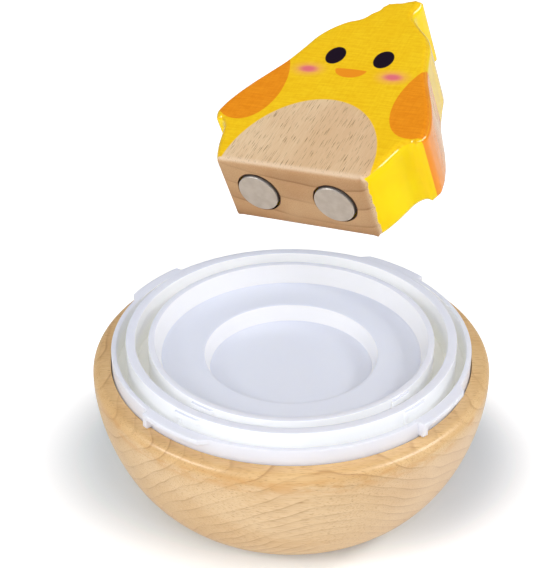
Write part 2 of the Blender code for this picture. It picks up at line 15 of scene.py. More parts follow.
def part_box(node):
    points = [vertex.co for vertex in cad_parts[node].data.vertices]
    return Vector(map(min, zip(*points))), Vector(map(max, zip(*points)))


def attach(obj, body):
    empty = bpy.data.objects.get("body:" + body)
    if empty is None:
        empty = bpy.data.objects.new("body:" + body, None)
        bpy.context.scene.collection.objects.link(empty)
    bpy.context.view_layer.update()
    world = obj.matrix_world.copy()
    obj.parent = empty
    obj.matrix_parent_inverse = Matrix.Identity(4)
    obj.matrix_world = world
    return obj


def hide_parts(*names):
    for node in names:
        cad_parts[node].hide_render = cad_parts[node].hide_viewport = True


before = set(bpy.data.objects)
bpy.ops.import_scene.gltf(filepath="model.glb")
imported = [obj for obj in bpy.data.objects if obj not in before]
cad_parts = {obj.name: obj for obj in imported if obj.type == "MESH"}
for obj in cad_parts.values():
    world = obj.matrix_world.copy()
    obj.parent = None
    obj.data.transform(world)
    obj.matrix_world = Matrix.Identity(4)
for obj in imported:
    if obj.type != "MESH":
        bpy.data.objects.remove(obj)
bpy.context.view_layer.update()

MM = 0.001


def middle_of(node):
    """The middle of a node's box."""
    low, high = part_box(node)
    return (low + high) / 2


def in_radians(*degrees):
    return [math.radians(angle) for angle in degrees]


# The room between the tray and the bowl, and how near two points are to be one
CLEARANCE = 0.3 * MM
WELD = 0.0005 * MM

# Levels and radii that the frame gives
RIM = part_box("wood_bowl")[1].z
BOWL_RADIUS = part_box("wood_bowl")[1].x
CAVITY_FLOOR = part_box("ring_tray")[0].z - CLEARANCE
MAGNET_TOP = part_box("base_magnet_left")[1].z
POCKET_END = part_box("base_magnet_left")[0].z
MAGNETS = ["base_magnet_left", "base_magnet_right"]
TRAY_SCREWS = ["tray_screw_a", "tray_screw_b", "tray_screw_c", "tray_screw_d"]
COVER_SCREWS = ["cover_screw_a", "cover_screw_b"]

# The bowl
FOOT_RADIUS = 24.9 * MM
BOWL_BAND = 2.0 * MM  # the straight band under the shoulder
BOWL_SHOULDER = 2.6 * MM
DEPTH_POWER = 1.6  # the powers of the curve that the side follows
WIDTH_POWER = 2.5
CAVITY_RADIUS = 34.0 * MM
COUNTERBORE_RADIUS = 4.3 * MM
COUNTERBORE_DEPTH = 12.0 * MM
SCREW_WAY = 2.3 * MM

# The tray
TRAY_RADIUS = 55.0 * MM
RING_TOP = RIM + 4.9 * MM
MIDDLE_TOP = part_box("ring_tray")[1].z
INNER_TOP = RING_TOP + 1.8 * MM
OUTER_WALL = 1.6 * MM
MIDDLE_RADIUS = 50.5 * MM
MIDDLE_WALL = 2.9 * MM
INNER_RADIUS = 43.7 * MM
INNER_WALL = 2.0 * MM
WELL_RADIUS = 39.9 * MM
WELL_FLOOR = RING_TOP - 4.15 * MM
GROOVE_FLOOR = RING_TOP - 8.0 * MM
DECK_UNDER = GROOVE_FLOOR - 2.0 * MM
RECESS_RADIUS = 25.1 * MM
RECESS_FLARE = 1.3 * MM
RECESS_FLOOR = WELL_FLOOR - 5.15 * MM
FLOOR_THICKNESS = 2.0 * MM
RING_EDGE = 0.4 * MM
GROOVE_ROUND = 0.3 * MM
WELL_ROUND = 0.5 * MM
MAGNET_BOSS = 7.8 * MM
MAGNET_BORE = 6.3 * MM
COVER_SCREW_BOSS = 3.0 * MM
COVER_SCREW_BORE = 1.7 * MM
TRAY_SCREW_BOSS = 3.8 * MM

# The chick, as it is held
HELD_FOOT = Vector((1.16 * MM, -57.3 * MM, WELL_FLOOR + 85.1 * MM))
HELD_TURN = Euler(in_radians(-71.4, -7.3, -30.1))
HELD = Matrix.Translation(HELD_FOOT) @ HELD_TURN.to_matrix().to_4x4()
CHICK_DEPTH = 20.0 * MM
CHICK_EDGE = 1.8 * MM
FOOT_HALF = 20.8 * MM
HEAD_RADIUS = 18.7 * MM
HEAD_HEIGHT = 42.5 * MM
DISC_RADIUS = 5.5 * MM
DISC_THICKNESS = 4.0 * MM
DISC_PROUD = 0.5 * MM
DISC_BORE = 5.95 * MM
DISC_PLACES = [Vector((x * MM, -0.25 * MM, 0.0)) for x in (-11.0, 11.0)]


# Shader nodes


def socket_of(sockets, kind, name=None):
    """The first socket of a kind, and of a name where one is given."""
    return next(s for s in sockets if s.type == kind and name in (None, s.name))


class Nodes:
    """Adds nodes to one tree and links what feeds them."""

    def __init__(self, tree):
        self.tree = tree

    def join(self, socket, value):
        """Links a socket to another one, or sets its value."""
        if isinstance(value, bpy.types.NodeSocket):
            self.tree.links.new(value, socket)
        else:
            socket.default_value = value

    def feed(self, inputs, feeds):
        """Feeds inputs by name with sockets or values."""
        for name, value in feeds.items():
            self.join(inputs[name], value)

    def add(self, kind, feeds=None, **settings):
        """A node with its settings and what feeds it."""
        node = self.tree.nodes.new(kind)
        for name, value in settings.items():
            setattr(node, name, value)
        self.feed(node.inputs, feeds or {})
        return node

    def math(self, operation, *values):
        """The result of a Math node."""
        node = self.add("ShaderNodeMath", operation=operation)
        for socket, value in zip(node.inputs, values):
            self.join(socket, value)
        return node.outputs[0]

    def times(self, product, *others):
        """The product of all the values."""
        for other in others:
            product = self.math("MULTIPLY", product, other)
        return product

    def plus(self, first, second):
        return self.math("ADD", first, second)

    def minus(self, first, second):
        return self.math("SUBTRACT", first, second)

    def most(self, first, second):
        return self.math("MAXIMUM", first, second)

    def blend(self, factor, first, second, kind="MIX"):
        """Two colours mixed by a factor."""
        node = self.add("ShaderNodeMix", data_type="RGBA", blend_type=kind)
        self.join(node.inputs["Factor"], factor)
        self.join(socket_of(node.inputs, "RGBA", "A"), first)
        self.join(socket_of(node.inputs, "RGBA", "B"), second)
        return socket_of(node.outputs, "RGBA")

    def ramp(self, value, low, high, to_low=0.0, to_high=1.0):
        """A value's share of the way from low to high, eased and held at both ends."""
        ends = {"From Min": low, "From Max": high, "To Min": to_low, "To Max": to_high}
        node = self.add("ShaderNodeMapRange", {"Value": value, **ends}, interpolation_type="SMOOTHSTEP")
        return node.outputs["Result"]

    def fall(self, value, low, high):
        """1 up to low and 0 from high, eased between them."""
        return self.ramp(value, low, high, 1.0, 0.0)

    def length(self, x, y):
        """The length of the vector (x, y)."""
        return self.math("SQRT", self.math("MULTIPLY_ADD", x, x, self.times(y, y)))

    def noise(self, vector, scale, detail=2.0, roughness=0.5, distortion=0.0):
        """Noise of one scale, or of a scale along each axis."""
        if isinstance(scale, tuple):
            stretched = self.add("ShaderNodeVectorMath", operation="MULTIPLY")
            self.join(stretched.inputs[0], vector)
            self.join(stretched.inputs[1], scale)
            vector, scale = stretched.outputs[0], 1.0
        kind = {"Detail": detail, "Roughness": roughness, "Distortion": distortion}
        return self.add("ShaderNodeTexNoise", {"Vector": vector, "Scale": scale, **kind}).outputs["Fac"]

    def parts(self, vector):
        """A vector's X, Y and Z."""
        return self.add("ShaderNodeSeparateXYZ", {"Vector": vector}).outputs

    def rgb(self, red, green, blue):
        """The colour of three values."""
        return self.add("ShaderNodeCombineColor", {"Red": red, "Green": green, "Blue": blue}).outputs[0]

    def in_millimetres(self, place=(0.0, 0.0, 0.0), turn=(0.0, 0.0, 0.0)):
        """Object coordinates seen from a frame at that place and turned so, in millimetres."""
        own = self.add("ShaderNodeTexCoord").outputs["Object"]
        feeds = {"Vector": own, "Location": place, "Rotation": turn, "Scale": (MM, MM, MM)}
        return self.add("ShaderNodeMapping", feeds, vector_type="TEXTURE").outputs[0]

    def group(self, tree, feeds):
        """What a node group puts out."""
        return self.add("ShaderNodeGroup", feeds, node_tree=tree).outputs


def colour(red, green, blue):
    """A screen colour of 0 to 255 as the shader's linear colour."""
    linear = []
    for value in (red, green, blue):
        share = value / 255
        linear.append(share / 12.92 if share <= 0.04045 else ((share + 0.055) / 1.055) ** 2.4)
    return (*linear, 1.0)


def new_tree(name, kind, inputs, outputs):
    """An empty tree with sockets by name and kind, its Nodes, what it is given and what it gives."""
    tree = bpy.data.node_groups.new(name, kind)
    for in_out, sockets in (("INPUT", inputs), ("OUTPUT", outputs)):
        for label, socket_kind in sockets.items():
            tree.interface.new_socket(name=label, in_out=in_out, socket_type="NodeSocket" + socket_kind)
    nodes = Nodes(tree)
    return tree, nodes, nodes.add("NodeGroupInput").outputs, nodes.add("NodeGroupOutput").inputs


def new_group(name, numbers, colours):
    """A shader group that takes a vector, numbers and colours and gives a finish."""
    inputs = {"Vector": "Vector", **dict.fromkeys(numbers, "Float"), **dict.fromkeys(colours, "Color")}
    outputs = {"Color": "Color", "Roughness": "Float", "Height": "Float"}
    return new_tree(name, "ShaderNodeTree", inputs, outputs)


def beech_group():
    """Beech: growth rings, soft tones, fine fibres and the dark flecks of its rays.

    The vector is in millimetres with the fibres along Z, and the distance is that from the middle
    of the trunk.
    """
    numbers = ["Distance", "Bend", "Ring Spacing", "Ring Depth", "Fleck Depth"]
    tree, nodes, given, out = new_group("beech_grain", numbers, ["Pale", "Warm", "Brown"])
    vector = given["Vector"]
    distance = nodes.math("MULTIPLY_ADD", nodes.noise(vector, 0.035), given["Bend"], given["Distance"])
    ring = nodes.math("FRACT", nodes.math("DIVIDE", distance, given["Ring Spacing"]))
    late = nodes.times(nodes.ramp(ring, 0.15, 0.93), 0.35)
    late = nodes.math("MULTIPLY_ADD", nodes.ramp(ring, 0.82, 0.94), 0.65, late)
    uneven = nodes.ramp(nodes.noise(vector, 0.07), 0.38, 0.62)
    line = nodes.times(late, nodes.fall(ring, 0.94, 1.0), nodes.math("MULTIPLY_ADD", uneven, 0.7, 0.3))

    tone = nodes.noise(vector, (0.06, 0.06, 0.02), 3.0)
    fibre = nodes.noise(vector, (2.6, 2.6, 0.16), 3.0, 0.6)
    tone = nodes.math("MULTIPLY_ADD", fibre, 0.5, nodes.times(tone, 0.7))
    fleck = nodes.ramp(nodes.noise(vector, (4.3, 4.3, 0.24), 1.0), 0.6, 0.69)
    wood = nodes.blend(nodes.ramp(tone, 0.4, 0.78), given["Pale"], given["Warm"])
    wood = nodes.blend(nodes.times(line, given["Ring Depth"]), wood, given["Brown"])
    wood = nodes.blend(nodes.times(fleck, given["Fleck Depth"]), wood, given["Brown"])
    roughness = nodes.math("MULTIPLY_ADD", fibre, 0.15, 0.34)
    height = nodes.minus(nodes.times(fibre, 0.4), nodes.plus(fleck, line))
    nodes.feed(out, {"Color": wood, "Roughness": roughness, "Height": height})
    return tree


def moulded_group():
    """Moulded plastic: a fine satin skin with slow waves, and dust and rubs in its roughness."""
    tree, nodes, given, out = new_group("moulded_skin", ["Roughness"], ["Plain"])
    slow = nodes.noise(given["Vector"], 0.05)
    fine = nodes.noise(given["Vector"], 4.0)
    rubbed = nodes.ramp(nodes.noise(given["Vector"], (0.8, 0.12, 0.8), 3.0), 0.4, 0.75)
    shade = nodes.math("MULTIPLY_ADD", slow, 0.03, 0.97)
    tinted = nodes.blend(1.0, given["Plain"], nodes.rgb(shade, shade, 1.0), "MULTIPLY")
    roughness = nodes.math("MULTIPLY_ADD", rubbed, 0.12, given["Roughness"])
    height = nodes.plus(nodes.times(slow, 0.5), nodes.times(fine, 0.04))
    nodes.feed(out, {"Color": tinted, "Roughness": roughness, "Height": height})
    return tree


def metal_group():
    """Worn metal: dull clouds, fine scratches and specks of grime."""
    tree, nodes, given, out = new_group("worn_metal", ["Roughness"], ["Bright", "Dull"])
    cloud = nodes.noise(given["Vector"], 0.4, 3.0)
    scratch = nodes.noise(given["Vector"], (6.0, 0.35, 1.0), distortion=0.6)
    speck = nodes.ramp(nodes.noise(given["Vector"], 2.6), 0.62, 0.72)
    dulled = nodes.blend(nodes.ramp(cloud, 0.3, 0.75), given["Bright"], given["Dull"])
    dulled = nodes.blend(nodes.times(speck, 0.35), dulled, given["Dull"])
    roughness = nodes.math("MULTIPLY_ADD", cloud, 0.2, given["Roughness"])
    height = nodes.plus(scratch, nodes.times(speck, -0.6))
    nodes.feed(out, {"Color": dulled, "Roughness": roughness, "Height": height})
    return tree


def new_material(name):
    """A material, its Nodes and the inputs of its shader."""
    material = bpy.data.materials.new(name)
    material.use_nodes = True
    return material, Nodes(material.node_tree), material.node_tree.nodes["Principled BSDF"].inputs


def finish(nodes, shader, feeds, height, strength, distance):
    """Feeds a shader's inputs by name, and its normal with the bumps of a height."""
    bumps = {"Height": height, "Strength": strength, "Distance": distance}
    nodes.feed(shader, {**feeds, "Normal": nodes.add("ShaderNodeBump", bumps).outputs[0]})


def bowl_material():
    """Finely sanded beech under satin lacquer, golden near the rim: partly its tone, partly painted shade.

    The middle of the trunk lay below the bowl and ran from front to back, so the growth rings
    stand as arches on the front and cross the rim at both sides.
    """
    material, nodes, shader = new_material("lacquered_beech")
    trunk = nodes.in_millimetres((8.0 * MM, 0.0, -9.0 * MM), in_radians(84, 0, 4))
    across, up, _ = nodes.parts(trunk)
    wood = nodes.group(
        beech,
        {
            "Vector": nodes.in_millimetres(turn=in_radians(0, 93, 0)),
            "Distance": nodes.length(across, up),
            "Bend": 9.0,
            "Ring Spacing": 3.7,
            "Ring Depth": 0.52,
            "Fleck Depth": 0.5,
            "Pale": colour(236, 207, 164),
            "Warm": colour(224, 188, 138),
            "Brown": colour(170, 116, 64),
        },
    )
    own = nodes.in_millimetres()
    x, _, z = nodes.parts(own)
    rim = RIM / MM
    # Golden and darker towards the rim top: partly the wood's tone, partly painted shade on the faces turned up.
    rim_tone_and_shade = nodes.ramp(z, rim - 5.0, rim - 1.5)
    smear = nodes.ramp(nodes.noise(own, (0.16, 0.16, 0.5), 3.0), 0.42, 0.7)
    edge = nodes.times(nodes.ramp(z, rim - 7.5, rim - 4.0), nodes.fall(z, rim - 2.6, rim - 0.6))
    # Paler and pinker on the lower right side: partly the wood's tone, partly painted light.
    pink_tone_and_light = nodes.times(nodes.ramp(x, 10.0, 60.0), nodes.fall(z, rim - 9.0, rim - 3.0))
    tone = nodes.blend(nodes.times(pink_tone_and_light, 0.5), wood["Color"], colour(236, 208, 180))
    tone = nodes.blend(nodes.times(rim_tone_and_shade, 0.75), tone, colour(254, 243, 216), "MULTIPLY")
    tone = nodes.blend(nodes.times(smear, edge, 0.55), tone, colour(214, 154, 82))
    feeds = {"Base Color": tone, "Roughness": wood["Roughness"], "Coat Weight": 0.2, "Coat Roughness": 0.07}
    finish(nodes, shader, feeds, wood["Height"], 0.1, 0.05 * MM)
    return material


def tray_material():
    """White moulded plastic with painted shade on its level faces and outer wall, and painted warm light in its
    grooves.

    The grooves and the thin walls at the front and the back have a faint painted glow, standing in for light that
    comes through the thin walls and reaches the grooves.
    """
    material, nodes, shader = new_material("moulded_white")
    vector = nodes.in_millimetres()
    x, y, z = nodes.parts(vector)
    radius = nodes.length(x, y)
    top = RING_TOP / MM
    inner = INNER_RADIUS / MM
    wall = (TRAY_RADIUS - OUTER_WALL) / MM
    within = nodes.times(nodes.ramp(radius, inner - 0.3, inner - 0.1), nodes.fall(radius, wall + 0.1, wall + 0.3))
    groove = nodes.times(nodes.fall(z, GROOVE_FLOOR / MM, top), within)
    facing = nodes.parts(nodes.add("ShaderNodeNewGeometry").outputs["Normal"])
    level = nodes.ramp(facing["Z"], 0.6, 0.95)
    upright = nodes.minus(1.0, level)
    outside = nodes.times(upright, nodes.ramp(radius, wall + 0.5, wall + 0.9))
    thin = nodes.times(upright, within, nodes.ramp(nodes.math("ABSOLUTE", y), 12.0, 38.0))
    # Painted shade: the level faces are darker and bluer than the upright walls.
    level_shade = nodes.blend(nodes.ramp(z, top - 1.0, top - 0.4), colour(231, 236, 252), colour(233, 236, 248))
    white = nodes.blend(level, colour(250, 252, 255), level_shade)
    # Painted warm light in the grooves.
    white = nodes.blend(groove, white, colour(252, 250, 240))
    # Painted shade: the outer wall is darker and bluer than the other upright walls.
    white = nodes.blend(outside, white, colour(238, 241, 252))
    # Painted glow: the grooves and the thin front and back walls give off faint light.
    through = nodes.blend(groove, (0.0, 0.0, 0.0, 1.0), (0.07, 0.073, 0.073, 1.0))
    through = nodes.blend(thin, through, (0.07, 0.073, 0.077, 1.0))
    skin = nodes.group(moulded, {"Vector": vector, "Plain": white, "Roughness": 0.34})
    feeds = {
        "Base Color": skin["Color"],
        "Roughness": skin["Roughness"],
        "Emission Color": through,
        "Emission Strength": 1.0,
        "Subsurface Weight": 0.5,
        "Subsurface Radius": (1.0, 1.0, 0.95),
        "Subsurface Scale": 2.0 * MM,
    }
    finish(nodes, shader, feeds, skin["Height"], 0.08, 0.1 * MM)
    return material


def cover_material():
    material, nodes, shader = new_material("moulded_cover")
    vector = nodes.in_millimetres(turn=(0.0, 0.0, 0.4))
    skin = nodes.group(moulded, {"Vector": vector, "Plain": colour(226, 227, 230), "Roughness": 0.5})
    feeds = {"Base Color": skin["Color"], "Roughness": skin["Roughness"]}
    finish(nodes, shader, feeds, skin["Height"], 0.15, 0.1 * MM)
    return material


def metal_material(name, bright, dull, roughness, **frame_of_piece):
    material, nodes, shader = new_material(name)
    vector = nodes.in_millimetres(**frame_of_piece)
    dulled = nodes.group(metal, {"Vector": vector, "Bright": bright, "Dull": dull, "Roughness": roughness})
    feeds = {"Base Color": dulled["Color"], "Roughness": dulled["Roughness"], "Metallic": 0.9}
    finish(nodes, shader, feeds, dulled["Height"], 0.1, 0.03 * MM)
    return material


# The chick's print in millimetres: each ellipse has its middle, its half sizes and its tilt
RIGHT_WING = ((27.2, 31.65), (10.05, 15.9), -0.141)
LEFT_WING = ((-26.5, 31.2), (10.06, 16.3), 0.293)
BELLY = ((1.18, 1.54), (20.7, 24.8), 0.136)
LEFT_EYE = ((-7.18, 43.14), (2.78, 3.4), 0.141)
RIGHT_EYE = ((6.94, 43.23), (2.78, 3.4), 0.141)
CHEEK = ((12.36, 36.95), (3.7, 2.1), 0.0)
CHEEK_HEART = ((12.36, 36.95), (2.4, 1.15), 0.0)
BEAK = ((-0.15, 38.2), (4.5, 3.05), 0.0)
BEAK_TOP = 38.5
BEAK_BOW = 0.012
WING_SIDE = (16.2, 41.5)  # the heights between which the paint round the sides is orange
PRINT_EDGE = 0.55  # how far the print reaches round the edge of each flat


def ellipse(nodes, across, up, shape, softness):
    """1 within an ellipse and 0 outside it, with an edge of that softness."""
    middle, halves, tilt = shape
    cos, sin = math.cos(tilt), math.sin(tilt)
    dx = nodes.minus(across, middle[0])
    dz = nodes.minus(up, middle[1])
    u = nodes.plus(nodes.times(dx, cos), nodes.times(dz, sin))
    v = nodes.minus(nodes.times(dz, cos), nodes.times(dx, sin))
    reach = nodes.length(nodes.math("DIVIDE", u, halves[0]), nodes.math("DIVIDE", v, halves[1]))
    return nodes.fall(reach, 1.0 - softness, 1.0 + softness)


def chick_colours(nodes, own, thread, flat, front):
    """Yellow with orange wings, printed on the flats and painted round the sides, and the face."""
    x, _, z = nodes.parts(own)
    cross = nodes.noise(own, (1.9, 0.5, 0.16))
    mottle = nodes.noise(own, 0.9, 3.0)
    patch = nodes.noise(own, 0.09)
    shade = nodes.math("MULTIPLY_ADD", cross, 0.25, nodes.times(mottle, 0.25))
    shade = nodes.ramp(nodes.math("MULTIPLY_ADD", thread, 0.5, shade), 0.32, 0.68)
    printed = nodes.blend(shade, colour(241, 188, 6), colour(253, 211, 34))
    printed = nodes.blend(nodes.times(nodes.ramp(patch, 0.35, 0.7), 0.3), printed, colour(244, 188, 4))
    orange = nodes.blend(shade, colour(232, 134, 10), colour(244, 154, 28))
    paint = nodes.blend(nodes.ramp(patch, 0.3, 0.7), colour(252, 212, 0), colour(254, 222, 0))

    wing = nodes.most(ellipse(nodes, x, z, RIGHT_WING, 0.012), ellipse(nodes, x, z, LEFT_WING, 0.012))
    low, high = WING_SIDE
    side = nodes.times(nodes.ramp(z, low - 0.1, low + 0.1), nodes.fall(z, high - 0.2, high + 0.2))
    wing = nodes.most(nodes.times(wing, flat), nodes.times(side, nodes.minus(1.0, flat)))
    skin = nodes.blend(wing, nodes.blend(flat, paint, printed), nodes.blend(flat, colour(246, 146, 22), orange))

    aside = nodes.math("ABSOLUTE", x)
    cheek = nodes.times(ellipse(nodes, aside, z, CHEEK, 0.75), 0.75)
    heart = nodes.times(ellipse(nodes, aside, z, CHEEK_HEART, 0.6), 0.85)
    above_beak = nodes.minus(z, nodes.minus(BEAK_TOP, nodes.times(x, x, BEAK_BOW)))
    beak = nodes.times(ellipse(nodes, x, z, BEAK, 0.05), nodes.fall(above_beak, -0.15, 0.15))
    eyes = nodes.most(ellipse(nodes, x, z, LEFT_EYE, 0.04), ellipse(nodes, x, z, RIGHT_EYE, 0.04))
    face = ((cheek, (246, 168, 96)), (heart, (226, 96, 130)), (beak, (242, 147, 26)), (eyes, (26, 10, 30)))
    for mask, tint in face:
        skin = nodes.blend(nodes.times(mask, front), skin, colour(*tint))
    return skin


def bore_mask(nodes, x, y, ragged):
    """A dark ragged rim round the two bores in the foot, wider towards the front and the right."""
    masks = []
    edge = DISC_BORE / MM
    for place in DISC_PLACES:
        dx = nodes.minus(x, place.x / MM + 0.22)
        dy = nodes.minus(y, place.y / MM - 0.22)
        reach = nodes.minus(nodes.length(dx, dy), nodes.times(ragged, 0.25))
        masks.append(nodes.fall(reach, edge - 0.05, edge + 0.12))
    return nodes.most(*masks)


def chick_timber(nodes, own, ragged):
    """The chick's bare wood, its end face at the foot darker from end grain and painted shade, with a painted
    highlight on its front edge: its colour and its height.
    """
    x, y, z = nodes.parts(own)
    half_depth = CHICK_DEPTH / 2 / MM
    wood = nodes.group(
        beech,
        {
            "Vector": own,
            "Distance": nodes.length(nodes.minus(x, 8.0), nodes.plus(y, 96.0)),
            "Bend": 3.0,
            "Ring Spacing": 5.8,
            "Ring Depth": nodes.ramp(z, 0.1, 1.3, 0.5, 0.1),
            "Fleck Depth": nodes.ramp(z, 0.1, 1.3, 0.2, 0.72),
            "Pale": colour(234, 206, 168),
            "Warm": colour(219, 183, 142),
            "Brown": colour(140, 98, 64),
        },
    )
    # Darker at the foot's end face: partly its end grain, partly painted shade on the face turned down.
    end_face = nodes.fall(z, 0.1, 1.3)
    # Darker towards the back edge of the foot's face.
    dulled = nodes.times(end_face, nodes.ramp(y, half_depth - 5.5, half_depth - 0.5))
    # Painted highlight on the rounded edge between the belly and the foot.
    edge = nodes.times(nodes.fall(y, 0.5 - half_depth, 2.0 - half_depth), nodes.ramp(z, 0.25, 0.9))
    edge = nodes.times(edge, nodes.fall(z, 1.0, 2.4))
    timber = nodes.blend(end_face, wood["Color"], colour(216, 200, 184), "MULTIPLY")
    timber = nodes.blend(nodes.times(dulled, 0.5), timber, colour(150, 104, 66))
    timber = nodes.blend(nodes.times(edge, 0.45), timber, colour(238, 214, 186))
    timber = nodes.blend(bore_mask(nodes, x, y, ragged), timber, colour(62, 40, 30))
    return timber, wood["Height"]


def chick_material():
    """The chick's block: a satin print on its flats, glossy paint round its sides, and bare wood.

    The wood shows at the belly, on the front alone, and in a ragged strip at the foot.
    """
    material, nodes, shader = new_material("painted_chick")
    own = nodes.in_millimetres(HELD_FOOT, HELD_TURN)
    x, y, z = nodes.parts(own)
    off_middle = nodes.math("ABSOLUTE", y)
    half_depth = CHICK_DEPTH / 2 / MM
    print_end = half_depth - PRINT_EDGE
    front = nodes.minus(1.0, nodes.ramp(y, -print_end, 0.3 - print_end))
    flat = nodes.ramp(off_middle, print_end - 0.3, print_end)
    thread = nodes.noise(own, (0.16, 0.5, 1.9))
    ragged = nodes.noise(own, (0.55, 0.55, 0.3), 3.0)
    paint_line = nodes.math("MULTIPLY_ADD", ragged, 1.2, 0.7)
    foot = nodes.minus(1.0, nodes.ramp(nodes.minus(z, paint_line), -0.12, 0.12))
    bare = nodes.most(nodes.times(ellipse(nodes, x, z, BELLY, 0.01), front), foot)
    timber, grain = chick_timber(nodes, own, ragged)

    rounded = nodes.fall(off_middle, half_depth - 0.35, half_depth - 0.1)
    gloss = nodes.times(rounded, nodes.minus(1.0, bare))
    satin = nodes.minus(1.0, gloss)
    rough = nodes.math("MULTIPLY_ADD", gloss, -0.3, nodes.math("MULTIPLY_ADD", thread, 0.1, 0.46))
    thick = nodes.most(nodes.ramp(z, 13.0, 18.0, 0.12, 1.0), nodes.ramp(off_middle, 8.2, 8.7))
    height = nodes.plus(nodes.times(gloss, nodes.noise(own, 0.22, 1.0), 3.0), nodes.times(satin, thread, 0.25))
    height = nodes.plus(height, nodes.times(bare, grain, 0.4))
    feeds = {
        "Base Color": nodes.blend(bare, chick_colours(nodes, own, thread, flat, front), timber),
        "Roughness": nodes.most(rough, 0.1),
        "Coat Weight": nodes.times(gloss, thick),
        "Coat Roughness": 0.05,
        "Coat IOR": 1.45,
        "Specular IOR Level": 0.1,
    }
    finish(nodes, shader, feeds, height, 0.35, 0.1 * MM)
    return material


# Mesh making


def eased(corners, steps=2, guard=0.25 * MM):
    """An open line through (radius, height, cut) corners, each cut rounded.

    A guard point before and after each round keeps the flats next to it shaded flat.
    """
    line = []
    for i, (across, up, cut) in enumerate(corners):
        here = Vector((across, up))
        if cut == 0:
            line.append(here)
            continue
        before = Vector(corners[i - 1][:2]) - here
        after = Vector(corners[i + 1][:2]) - here
        start = here + before.normalized() * min(cut, before.length * 0.42)
        end = here + after.normalized() * min(cut, after.length * 0.42)
        line.append(here + before.normalized() * min(cut + guard, before.length * 0.47))
        for step in range(steps + 1):
            share = step / steps
            line.append(start * (1 - share) ** 2 + here * 2 * share * (1 - share) + end * share**2)
        line.append(here + after.normalized() * min(cut + guard, after.length * 0.47))
    return line


def linked(name, data):
    """A new object that is in the scene."""
    made = bpy.data.objects.new(name, data)
    bpy.context.scene.collection.objects.link(made)
    return made


def coat(mesh, material):
    mesh.materials.clear()
    mesh.materials.append(material)


def add_piece(name, mesh, material):
    coat(mesh, material)
    return linked(name, mesh)


def mesh_of(work, name):
    """The mesh of a bmesh, which is freed."""
    mesh = bpy.data.meshes.new(name)
    work.to_mesh(mesh)
    work.free()
    return mesh


def smooth_but_edges(mesh, degrees=38):
    mesh.shade_smooth()
    mesh.set_sharp_from_angle(angle=math.radians(degrees))


def close_up(mesh):
    """Merges doubles and turns the faces outwards."""
    work = bmesh.new()
    work.from_mesh(mesh)
    bmesh.ops.remove_doubles(work, verts=work.verts, dist=WELD)
    bmesh.ops.dissolve_degenerate(work, edges=work.edges, dist=0.4 * WELD)
    bmesh.ops.recalc_face_normals(work, faces=work.faces)
    work.to_mesh(mesh)
    work.free()


def taken(obj):
    """The plain mesh that an object's modifiers give. The object is removed."""
    bpy.context.view_layer.update()
    graph = bpy.context.evaluated_depsgraph_get()
    mesh = bpy.data.meshes.new_from_object(obj.evaluated_get(graph))
    bpy.data.objects.remove(obj)
    return mesh


def combined(mesh, other, operation, solver="EXACT"):
    """One mesh cut by or joined with another."""
    body = linked("body", mesh)
    tool = linked("tool", other)
    change = body.modifiers.new("change", "BOOLEAN")
    change.operation = operation
    change.object = tool
    change.solver = solver
    made = taken(body)
    bpy.data.objects.remove(tool)
    return made


def together(meshes):
    """Several meshes in one."""
    work = bmesh.new()
    for mesh in meshes:
        work.from_mesh(mesh)
    return mesh_of(work, "together")


def moved(mesh, matrix):
    copy = mesh.copy()
    copy.transform(matrix)
    return copy


def new_growth(name, inputs):
    """A Geometry Nodes tree that takes a mesh, the named inputs and a material and gives a mesh."""
    inputs = {"Geometry": "Geometry", **inputs, "Material": "Material"}
    return new_tree(name, "GeometryNodeTree", inputs, {"Geometry": "Geometry"})


def end_growth(nodes, given, out, geometry):
    """Ends a tree: its instances are made real and take the material."""
    real = nodes.add("GeometryNodeRealizeInstances", {"Geometry": geometry})
    dressed = {"Geometry": real.outputs[0], "Material": given["Material"]}
    nodes.feed(out, {"Geometry": nodes.add("GeometryNodeSetMaterial", dressed).outputs[0]})


def grown(tree, mesh, values):
    """The plain mesh that a tree makes of a mesh, with its inputs given by name."""
    source = linked("source", mesh)
    modifier = source.modifiers.new("grow", "NODES")
    modifier.node_group = tree
    for item in tree.interface.items_tree:
        if item.in_out == "INPUT" and item.name in values:
            modifier[item.identifier] = values[item.name]
    return taken(source)


def turning_tree():
    """Turns an open profile of points once round the Z axis into a closed surface."""
    tree, nodes, given, out = new_growth("turned_from_profile", {"Steps": "Int", "Weld": "Float"})
    size = nodes.add("GeometryNodeAttributeDomainSize", {"Geometry": given["Geometry"]})
    count = size.outputs["Point Count"]
    grid = nodes.add("GeometryNodeMeshGrid", {"Vertices X": nodes.plus(given["Steps"], 1), "Vertices Y": count})
    index = nodes.add("GeometryNodeInputIndex").outputs[0]
    along = nodes.math("FLOORED_MODULO", index, count)
    column = nodes.math("FLOOR", nodes.math("DIVIDE", nodes.plus(index, 0.5), count))
    profile = nodes.add(
        "GeometryNodeSampleIndex",
        {"Geometry": given["Geometry"], "Index": along},
        data_type="FLOAT_VECTOR",
        domain="POINT",
    )
    position = nodes.add("GeometryNodeInputPosition").outputs[0]
    nodes.join(socket_of(profile.inputs, "VECTOR", "Value"), position)
    angle = nodes.times(nodes.math("DIVIDE", column, given["Steps"]), math.tau)
    point = {"Vector": socket_of(profile.outputs, "VECTOR"), "Angle": angle}
    turned = nodes.add("ShaderNodeVectorRotate", point, rotation_type="Z_AXIS").outputs[0]
    placed = nodes.add("GeometryNodeSetPosition", {"Geometry": grid.outputs["Mesh"], "Position": turned})
    welds = {"Geometry": placed.outputs[0], "Distance": given["Weld"]}
    end_growth(nodes, given, out, nodes.add("GeometryNodeMergeByDistance", welds).outputs[0])
    return tree


